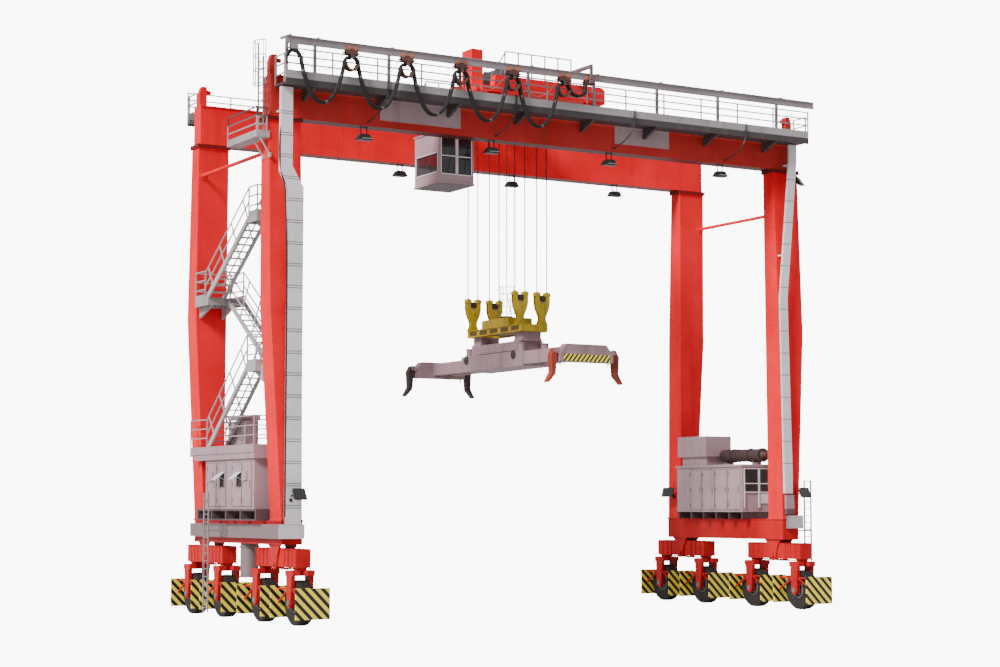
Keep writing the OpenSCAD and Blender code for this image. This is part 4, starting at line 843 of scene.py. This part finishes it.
# %% Lamp poles
FRONT_LAMPS, LAMP_Z = (-8.47, -2.73, 2.96, 8.71), 18.66
poles = []
for x in FRONT_LAMPS:
    poles.append(bent_pipe([(x + 0.30, -4.95, 20.72), (x + 0.30, -4.97, 20.05), (x + 0.12, -4.80, 19.55),
                            (x, -4.15, 19.25), (x, -3.64, 19.15), (x, -3.64, 19.02)], 0.028))
    poles.append(block((x + 0.26, -4.945, 20.30), (x + 0.34, -4.912, 20.42), 0.004))
dress("lamp_poles", "gantry", "lamp_black", (poles, lamp_black), smooth=50)
print("lamp poles in place")

# %% [markdown]
# ## Legs
# The legs are closed boxes with manholes. Their covers sit on the inner faces at three heights, each a
# shallow sunken panel between two rows of small bolts.

# %% Covers on the legs
inner_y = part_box("leg_rear_left")[0].y
covers, cover_bolts = [], []
for side in SIDES:
    x = side * (SILL_X - 0.405)
    for y, z in ((s * (inner_y + 0.55), z) for s in SIDES for z in (5.4, 12.6, 16.9)):
        cover = block((x - side * 0.012, y - 0.28, z - 0.38), (x + side * 0.004, y + 0.28, z + 0.38), 0.005)
        covers.append(sunken(cover, (-side, 0, 0), 0.05, 0.004))
        cover_bolts.append(((-side, 0, 0), [(x - side * 0.012, y + dy, z + dz) for dy in (-0.25, 0.25)
                                            for dz in between(-0.34, 0.34, 5)]))
dress("leg_covers", "gantry", "portal_red", (covers, portal_red))
bolt_rows("leg_cover_bolts", cover_bolts, 0.012, bolt_steel)
print("leg covers in place")

# %% [markdown]
# ## Cable casings
# The casing on the left leg is folded sheet in lengths of about a metre, joined by pairs of narrow bands.
# A dark rubber seal runs down its face. The thinner casing on the right leg has single bands.

# %% Bands on the casings
CASE_FRONT = -4.456

def casing_x(z):
    """Left and right edge of the casing on the front left leg at height z: it shifts left near the top."""
    if z > 16.9:
        return -SILL_X - 0.685, -SILL_X - 0.205
    return -SILL_X - 0.355 - 0.471 * max(0, z - 16.2), -SILL_X + 0.265 - 0.603 * max(0, z - 16.32)

def thin_x(z):
    """Centre of the casing on the front right leg at height z."""
    if z < 13.3:
        return SILL_X - 0.195 - 0.15 * (z - 5.53) / 7.77
    return SILL_X - 0.345 + 0.595 * min(1.0, (z - 13.3) / 6.1)

bands = []
for z in (4.3 + 0.82 * i + dz for i in range(19) for dz in (0.0, 0.09)):
    a, b = casing_x(z)
    bands.append(block((a - 0.004, CASE_FRONT - 0.008, z), (b + 0.004, CASE_FRONT + 0.19, z + 0.022), 0.003))
for z in (6.2 + 0.95 * i for i in range(14)):
    x = thin_x(z + 0.011)
    bands.append(block((x - 0.23, CASE_FRONT + 0.052, z), (x + 0.23, CASE_FRONT + 0.19, z + 0.022), 0.003))
seal = bent_pipe([(-SILL_X - dx, CASE_FRONT + 0.03, z) for dx, z in
                  ((0.385, 4.0), (0.385, 16.15), (0.715, 16.9), (0.715, 18.4), (0.60, 18.75))], 0.034)
dress("casing_bands", "gantry", "railing_grey", (bands, machine_grey), (seal, lamp_black))
print("casing bands in place")

# %% [markdown]
# ## Electric house
# The cabinet under the stair stands on beams over the left sill. Two small shutters are propped open over
# dark vents. Each door has a bar handle and three hinges, and a rubber seal shows as a thin line round it.

# %% Doors and shutters of the electric house
def door_trim(x, y0, y1, z0, z1):
    """Seal, hinges and handle of one door in a wall that looks to the left."""
    trim = [block((x - 0.006, y, z0), (x + 0.006, y + 0.014, z1), 0.003) for y in (y0, y1 - 0.014)]
    trim += [block((x - 0.006, y0, z), (x + 0.006, y1, z + 0.014), 0.003) for z in (z0, z1 - 0.014)]
    trim += [rod((x - 0.012, y1 - 0.06, z - 0.07), (x - 0.012, y1 - 0.06, z + 0.07), 0.017, 10)
             for z in between(z0 + 0.22, z1 - 0.22, 3)]
    y, z = y0 + 0.09, (z0 + z1) / 2
    trim.append(rod((x - 0.05, y, z - 0.13), (x - 0.05, y, z + 0.13), 0.012, 10))
    return trim + [bar_x(y, z + dz, x, x - 0.05, 0.010, 8) for dz in (-0.11, 0.11)]

def door_row(name, x, starts, width, z0, z1):
    trim = [part for y in starts for part in door_trim(x, y, y + width, z0, z1)]
    dress(name, "gantry", "housing_grey", (trim, seam_mauve), smooth=40)

door_row("electric_house_trim", -12.632, (-2.52, -1.56, -0.04, 0.92), 0.92, 4.37, 6.06)

# Painted shade: the vents' sunken faces and their slats are near-black for the openings behind the shutters.
vents, flaps = [], []
for y in (0.30, -1.34):
    vents.append(sunken(block((-12.648, y - 0.20, 5.12), (-12.626, y + 0.20, 5.66), 0.004), (-1, 0, 0), 0.035, 0.008))
    vents += [block((-12.655, y - 0.16, z), (-12.640, y + 0.16, z + 0.012), 0.002)
              for z in between(5.18, 5.58, 7)]
    flaps += moved(block((0, -0.22, -0.008), (0.46, 0.22, 0.008), 0.004),
                   [shift(-12.648, y, 5.68) @ turn(math.radians(180 - 38), "Y")])
    flaps += [rod((-12.645, y + s * 0.19, 5.40), (-12.86, y + s * 0.19, 5.52), 0.008, 8) for s in SIDES]
dress("open_shutters", "gantry", "housing_grey", (vents, near_black_and_shade), (flaps, duct_grey))

# %% Grilles of the cooling unit on its roof
FAN_Y, FAN_Z = (0.05, 0.78), 7.2
unit = []
for y in FAN_Y:
    unit.append(ring((-11.932, y, FAN_Z), 0.27, 0.010, (1, 0, 0), 28))
    unit.append(ring((-11.936, y, FAN_Z), 0.14, 0.008, (1, 0, 0), 20))
    unit += [rod((-11.937, y, FAN_Z), (-11.933, y + 0.27 * math.cos(a), FAN_Z + 0.27 * math.sin(a)), 0.006, 6)
             for a in between(0, math.pi * 1.75, 8)]
unit += [block((x, -0.312, 6.85), (x + 0.02, -0.298, 7.58), 0.002) for x in between(-11.9, -11.5, 5)]
dress("air_conditioner_grilles", "gantry", "housing_grey", (unit, machine_grey))
print("electric house in place")

# %% [markdown]
# ## Power pack
# The engine room over the right sill has plain doors on its long side. Its end wall is a frame with dark
# grilles, and a silencer of blackened steel lies on the roof. Its straps and flanges are thin rings.

# %% Doors and grilles of the power pack
door_row("power_pack_doors", 10.778, (-1.96, -1.01, -0.06, 0.89), 0.90, 4.22, 6.01)

# Painted shade: the grille panels and their slats are near-black for the openings behind them.
dark, light = [], []
for x0, x1 in ((10.915, 11.675), (11.745, 12.505)):
    for z0, z1 in ((5.04, 5.33), (5.40, 5.99)):
        dark.append(sunken(block((x0, -2.104, z0), (x1, -2.090, z1), 0.003), (0, -1, 0), 0.02, 0.004))
        dark += [block((x0 + 0.02, -2.112, z), (x1 - 0.02, -2.098, z + 0.010), 0.002)
                 for z in between(z0 + 0.05, z1 - 0.06, max(3, int((z1 - z0) / 0.075)))]
    light += [block((x, -2.122, 4.30), (x + 0.05, -2.088, 6.05), 0.006) for x in (x0 - 0.03, x1 - 0.02)]
    light += [block((x0, -2.120, z), (x1, -2.088, z + 0.045), 0.006) for z in (4.96, 5.345, 6.0)]
light.append(block((11.80, -2.112, 4.50), (12.42, -2.075, 4.92), 0.006))
dress("power_pack_grilles", "gantry", "housing_grey", (dark, near_black_and_shade), (light, duct_grey))

# %% Flange and straps of the silencer
PIPE_X, PIPE_Z = 11.795, 6.62

def strap(profile):
    return spun(profile, (PIPE_X, 0, PIPE_Z), (0, 1, 0), 40)

pipe = [strap([(0.288, -2.28), (0.300, -2.27), (0.300, -2.19), (0.288, -2.18)])]
pipe += [strap([(0.284, y - 0.03), (0.296, y - 0.028), (0.296, y + 0.028), (0.284, y + 0.03)])
         for y in (-1.5, -0.6, 0.2)]
pipe += [bar_y(PIPE_X + 0.292 * math.cos(a), PIPE_Z + 0.292 * math.sin(a), -2.285, -2.265, 0.012, 6)
         for a in between(0, math.tau * 11 / 12, 12)]
dress("silencer_bands", "gantry", "housing_grey", (pipe, soot_black))
print("power pack in place")

# %% [markdown]
# ## Cab
# The driver looks down on the load, so the cab has glass on all four sides. Each pane sits in a deep frame
# with a rubber edge, and three wipers lie on the front and left panes.

# %% Cab windows
RIM, PROUD = 0.03, 0.012
PANES = [((-4.632, -2.51, 17.81), (-4.624, -0.74, 18.54)), ((-4.56, -2.602, 17.73), (-3.94, -2.594, 19.31)),
         ((-3.81, -2.602, 17.73), (-3.19, -2.594, 19.31)), ((-4.56, -0.656, 17.73), (-3.20, -0.648, 19.31)),
         ((-3.136, -2.44, 18.01), (-3.128, -0.81, 19.31))]

def rubber_edge(low, high):
    """The four strips round a pane, which is thin along its shortest side."""
    size = [b - a for a, b in zip(low, high)]
    flat = size.index(min(size))
    strips = []
    for i in (i for i in range(3) if i != flat):
        for at_high in (False, True):
            a, b = list(low), list(high)
            if at_high:
                a[i] = high[i] - RIM
            else:
                b[i] = low[i] + RIM
            a[flat] -= PROUD
            b[flat] += PROUD
            strips.append(block(a, b, 0.005))
    return strips

dress("cab_windows", "trolley", "housing_grey", ([block(*pane, 0.002) for pane in PANES], cab_glass),
      ([strip for pane in PANES for strip in rubber_edge(*pane)], lamp_black))

# %% Frames and wipers
trim = [block((-4.692, y, 17.76), (-4.676, y + 0.04, 18.59), 0.006) for y in (-2.56, -0.73)]
trim += [block((-4.692, -2.56, z), (-4.676, -0.69, z + 0.04), 0.006) for z in (17.76, 18.55)]
trim += [block((x, -2.668, 17.68), (x + 0.045, -2.645, 19.36), 0.008) for x in (-4.60, -3.89, -3.84, -3.20)]
trim += [block((-4.60, -2.668, z), (-3.155, -2.645, z + 0.045), 0.008) for z in (17.68, 18.42, 19.32)]
wipers = [rod((-4.25, -2.615, 17.85), (-4.05, -2.615, 18.75), 0.010, 8),
          rod((-3.50, -2.615, 17.85), (-3.35, -2.615, 18.75), 0.010, 8),
          rod((-4.66, -2.0, 17.80), (-4.645, -1.5, 18.35), 0.010, 8)]
dress("cab_trim", "trolley", "housing_grey", (trim, duct_grey), (wipers, lamp_black))
print("cab in place")

# %% [markdown]
# ## Lamps
# Each floodlight of the front girder has a thin bevelled slab of glass in its mouth, which looks down.
# Flatter floodlights with cooling fins are clamped to the legs.

# %% Lamp glass and leg floodlights
def leg_lamp(centre, turned, tilt, arm):
    """A flat floodlight on a bracket: fins behind, glass in front."""
    case = [block((-0.27, -0.09, -0.19), (0.27, 0.0, 0.19), 0.02),
            block((-0.31, -0.125, -0.23), (0.31, -0.085, 0.23), 0.012)]
    case += [block((x - 0.008, 0.0, -0.14), (x + 0.008, 0.05, 0.14), 0.003) for x in between(-0.2, 0.2, 7)]
    face = block((-0.26, -0.132, -0.18), (0.26, -0.122, 0.18), 0.004)
    place = shift(*centre) @ turn(math.radians(turned), "Z") @ turn(math.radians(tilt), "X")
    bracket = [bent_pipe([arm, (*arm[:2], centre[2]), centre], 0.03),
               block([a - 0.06 for a in arm], [a + 0.06 for a in arm], 0.01)]
    lamp = painted(case, lamp_black) + painted(face, cab_glass)
    return [moved(o, [place])[0] for o in lamp] + painted(bracket, lamp_black)

lamps = leg_lamp((-11.72, -4.72, 4.78), 18, -22, (-11.90, -4.42, 4.60))
lamps += leg_lamp((12.15, -4.62, 4.92), 12, -22, (11.95, -4.18, 4.72))
lamps += leg_lamp((10.98, 3.70, 4.98), -70, -22, (11.30, 3.80, 4.80))
lamps += leg_lamp((12.62, -3.95, 18.55), 35, -35, (12.35, -3.80, 18.70))
glasses = [block((x - 0.20, -3.79, LAMP_Z - 0.075), (x + 0.20, -3.49, LAMP_Z - 0.062), 0.004) for x in FRONT_LAMPS]
fasten(assemble("leg_floodlights", lamps + painted(glasses, lamp_glass)), "gantry", "lamp_black")
print("lamps in place")

# %% [markdown]
# ## Safety cage
# The ladder up to the front walkway has a safety cage: hoops round the climber, tied by upright straps. It
# is the first thing one sees against the sky at the left end of the crane.

# %% Hoops and straps
CAGE_X, CAGE_Y = -12.885, -3.60
BACK_X = CAGE_X + 0.03
HOOP_Z = (20.25, 20.80, 21.35, 21.90)
arc = [(CAGE_X - 0.285 * math.sin(a), CAGE_Y - 0.36 * math.cos(a)) for a in between(0, math.pi, 13)]
cage = [bent_pipe([(x, y, z) for x, y in ((BACK_X, CAGE_Y - 0.36), *arc, (BACK_X, CAGE_Y + 0.36))], 0.020, 1)
        for z in HOOP_Z]
cage += [rod((x, y, HOOP_Z[0] - 0.02), (x, y, HOOP_Z[-1] + 0.02), 0.016, 6) for x, y in arc[1:-1:2]]
cage += [rod((BACK_X, y, HOOP_Z[0]), (BACK_X, y, HOOP_Z[-1]), 0.020, 8) for y in (CAGE_Y - 0.36, CAGE_Y + 0.36)]
dress("ladder_cage", "gantry", "railing_grey", (cage, rail_grey), smooth=50)
print("ladder cage in place")

# %% [markdown]
# ## Trolley machinery
# The rope drum is a turned barrel with a groove for every turn of rope, which a zigzag profile gives in
# one spin. The motor has cooling ribs all round and a fan cowl at its end.

# %% Drum and motor
GROOVES, GROOVE_PITCH, DRUM_END = 66, 0.051, 1.70
MOTOR_Y, MOTOR_Z = 1.45, 22.10
drum_profile = [(0.20, -DRUM_END)]
for y in (-1.68 + i * GROOVE_PITCH for i in range(GROOVES)):
    drum_profile += [(0.386, y), (0.400, y + GROOVE_PITCH / 2)]
drum = spun(drum_profile + [(0.386, 1.69), (0.20, DRUM_END)], (-0.84, 0, 22.30), (0, 1, 0), 40)
dress("drum_shell", "trolley", "machinery_grey", (drum, rope_steel), smooth=40)

motor = moved(block((1.24, -0.006, 0.255), (1.74, 0.006, 0.288), 0.002),
              [shift(0, MOTOR_Y, MOTOR_Z) @ turn(a, "X") for a in between(0, math.tau * 27 / 28, 28)])
motor.append(spun([(0.05, 0.70), (0.22, 0.72), (0.285, 0.66), (0.290, 0.56), (0.262, 0.555)],
                  (1.16, MOTOR_Y, MOTOR_Z), (1, 0, 0), 32))
motor.append(block((1.40, 1.18, 22.30), (1.62, 1.34, 22.42), 0.02, 2))
dress("motor_ribs", "trolley", "machinery_grey", (motor, machine_grey), smooth=40)
print("trolley machinery in place")

# %% [markdown]
# ## Spreader details
# Warning stripes cross the front end beam. Round guide pads and ribs stand on the sides of the main box,
# and the flippers end in bright flared tips that steer the frame over a container's corners.

# %% Stripes, pads and ribs
BOX_SIDE = 0.76
stripe_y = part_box("spreader_arm_front")[0].y
strip = block((-1.02, stripe_y - 0.006, 10.06), (1.14, stripe_y + 0.004, 10.34), 0.002)
dress("beam_warning_stripes", "arm_front", "spreader_grey", (strip, beam_stripes))

pads, ribs = [], []
for side in SIDES:
    x = TROLLEY_X + side * BOX_SIDE
    pads += [spun([(0.02, 0), (0.19, 0), (0.19, 0.022), (0.165, 0.034), (0.07, 0.034), (0.05, 0.06), (0.02, 0.06)],
                  (x, y, 10.60), (side, 0, 0), 28) for y in (-1.81, 2.10)]
    ribs += [block((x - 0.008, y - 0.02, 10.12), (x + 0.008, y + 0.02, 10.745), 0.003)
             for y in (-2.5, -0.9, 0.0, 0.9, 2.5)]
dress("spreader_pads", "hoist", "spreader_grey", (pads, near_black_and_shade), (ribs, spreader_grey))

# %% Bright tips and pins of the flippers
TIP = [(0, 0), (0.08, 0), (0.39, 0.33), (0.235, 0.42)]
for _, end in ENDS:
    for side, flank in FLANKS:
        name = f"flipper_{end}_{flank}"
        low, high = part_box(name)
        middle = (low.y + high.y) / 2
        tip_x = high.x if side > 0 else low.x
        outline = [(tip_x - side * back, low.z + up) for back, up in TIP][::side]
        shoes = [plate(outline, 0.008, shift(0, middle + face * 0.096 + 0.004, 0) @ turn(math.pi / 2, "X"))
                 for face in SIDES]
        pins = [bar_y(tip_x - side * 0.40, high.z - 0.11, middle + f * 0.10, middle + f * 0.13, 0.05, 6)
                for f in SIDES]
        dress(f"flipper_shoe_{end}_{flank}", name, "flipper_red", (shoes, shoe_orange), (pins, bolt_steel))

# %% [markdown]
# ## Pulleys and the basket cable
# A grooved pulley sits in every sheave block. The power cable coils into the wire basket as the head
# block rises. It ends in the trolley's open middle, where the CAD model has nothing to hold it.

# %% Pulleys, coil and cable
PULLEY = both_ways([(0.05, -0.055), (0.20, -0.055), (0.245, -0.05), (0.245, -0.035)])
PULLEY.insert(4, (0.222, 0.0))
pulleys = [spun(PULLEY, (x, y, ROPE_LOW), (0, 1, 0), 36) for x, y in BLOCKS]
dress("block_pulleys", "hoist", "head_yellow", (pulleys, machine_grey), smooth=35)

COIL_Z, CABLE_LOW, CABLE_HIGH = 12.262, 12.55, 21.02
coil = [ring((TROLLEY_X, 0, COIL_Z + 0.039 * i), 0.27 - 0.012 * i, 0.0195, (0, 0, 1), 40, 8) for i in range(3)]
dress("basket_coil", "hoist", "cable_black", (coil, cable_black), smooth=50)
line = [(TROLLEY_X + 0.20 * max(0, 1 - i / 6) ** 2, 0, z)
        for i, z in enumerate(between(CABLE_LOW, CABLE_HIGH, 49))]
riser = assemble("basket_cable", painted(tube_along(line, 0.020, 10), cable_black))
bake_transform(riser)
print("spreader and basket in place")

# %% [markdown]
# ## Bogie ribs and the right casing's foot
# A bogie beam is stiffened by ribs between its flanges, like any deep plate. The casing on the front right
# leg ends in a junction box on the sill, and both boxes are folded sheet with bevelled edges.

# %% Ribs and junction boxes
BOGIE_Y, RIB_HALF = 3.425, 0.010
for side, name in FLANKS:
    for s, end in ENDS:
        ribs = []
        for x, k in ((side * SILL_X + face * 0.28, k) for face in SIDES for k in SIDES):
            ribs += [block((x - 0.026, y - RIB_HALF, 2.156), (x + 0.026, y + RIB_HALF, 2.784), 0.003)
                     for y in (s * BOGIE_Y + k * dy for dy in between(0.78, 1.80, 4))]
            a, b = sorted((s * BOGIE_Y + k * 0.72, s * BOGIE_Y + k * 1.82))
            ribs.append(block((x - 0.008, a, 2.46), (x + 0.008, b, 2.48), 0.003))
        dress(f"bogie_ribs_{name}_{end}", f"bogie_{name}_{end}", "running_red", (ribs, running_red))

def casing_box(x0, x1, y0, y1, z0, z1, bevel=0.012):
    """A box on the front right leg's casing, measured from the sill's middle and the casing's face."""
    return block((SILL_X + x0, CASE_FRONT + y0, z0), (SILL_X + x1, CASE_FRONT + y1, z1), bevel)

boxes = [casing_box(-0.415, 0.025, 0.062, 0.20, 4.92, 5.535, 0.01), casing_box(-0.25, 0.55, 0.03, 0.24, 3.42, 3.98)]
lower = casing_box(-0.33, 0.12, 0.085, 0.21, 4.02, 4.86)
locks = [bar_y(SILL_X + dx, z, CASE_FRONT + 0.022, CASE_FRONT + 0.032, 0.02, 8)
         for dx in (-0.2, 0.5) for z in (3.5, 3.9)]
dress("junction_boxes", "gantry", "railing_grey", (boxes, duct_grey), (lower, mauve_grey), (locks, lamp_black))
print("bogie ribs and boxes in place")

# %% [markdown]
# ## Head block and platform
# Idler pulleys between the horns keep the ropes apart, and dark plates on the head frame's sides are painted shade of
# its web.
# Two raking struts carry the platform outside the front left leg.

# %% Idlers, covers and struts
IDLER_Z = 12.96
IDLER = both_ways([(0.03, -0.05), (0.13, -0.05), (0.145, -0.045)])
IDLER.insert(3, (0.128, 0.0))
idlers = []
for x, y in BLOCKS:
    idlers += [spun(IDLER, (x, y, IDLER_Z), (0, 1, 0), 24), bar_y(x, IDLER_Z, y - 0.105, y + 0.105, 0.035, 12),
               block((x - 0.155, y - 0.012, 12.94), (x + 0.155, y + 0.012, 12.98), 0.004)]
# Painted shade: dark plates on the head frame's sides stand for its shaded web between the flanges.
web_shade_plates = [block((x - 0.006, y, 11.62), (x + 0.006, y + 0.62, 11.80), 0.004)
           for x in (TROLLEY_X - 0.64, TROLLEY_X + 0.64) for y in between(-2.05, 1.43, 5)]
dress("head_block_details", "hoist", "head_yellow", (idlers, near_black_and_shade), (web_shade_plates, head_shade), smooth=35)

struts = []
for y in (-3.95, -3.35):
    struts += [rod((-13.05, y, 18.16), (-12.66, y, 17.55), 0.035, 10),
               block((-12.70, y - 0.07, 17.44), (-12.61, y + 0.07, 17.62), 0.008)]
dress("platform_struts", "gantry", "railing_grey", (struts, walkway_grey))
print("head block and struts in place")

# %% [markdown]
# ## Floor and light
# The studio is a pale floor under a wide white sky, with one large soft sun from the left. Faces that
# look left are bright and those that look at the camera are half in shade, as in the photograph. The
# sky that the camera sees is whiter than the light that it sends, so the shade keeps its depth.

# %% Floor, sun and sky
floor = added(bpy.ops.mesh.primitive_plane_add, size=900, location=(0, 0, -0.002))
floor.name = "studio_floor"
ground = Finish("studio_floor", 0.55)
painted(floor, ground.wire(ground.mix(ground.noise(0.05, 2.0), (0.50, 0.50, 0.50), (0.56, 0.56, 0.56))))
seen = add_node(ground.tree, "ShaderNodeLightPath", out="Is Camera Ray")
ground.feed("Emission Color", ground.mix(seen, (0, 0, 0), (1, 1, 1)))
ground.shader.inputs["Emission Strength"].default_value = 8.8

sun_data = bpy.data.lights.new("soft_sun", "SUN")
sun_data.energy = 5.6
sun_data.angle = math.radians(18)
sun = bpy.data.objects.new("soft_sun", sun_data)
bpy.context.collection.objects.link(sun)
sun.rotation_mode = "QUATERNION"
sun.rotation_quaternion = Vector((0.74, 0.26, -0.62)).to_track_quat("-Z", "Y")
world = bpy.data.worlds.new("white_sky")
world.use_nodes = True
background = world.node_tree.nodes["Background"]
background.inputs["Color"].default_value = (1, 1, 1, 1)
seen = add_node(world.node_tree, "ShaderNodeLightPath", out="Is Camera Ray")
world.node_tree.links.new((seen * 9.0 + 0.52).output, background.inputs["Strength"])
bpy.context.scene.world = world
print("floor and lights ready")
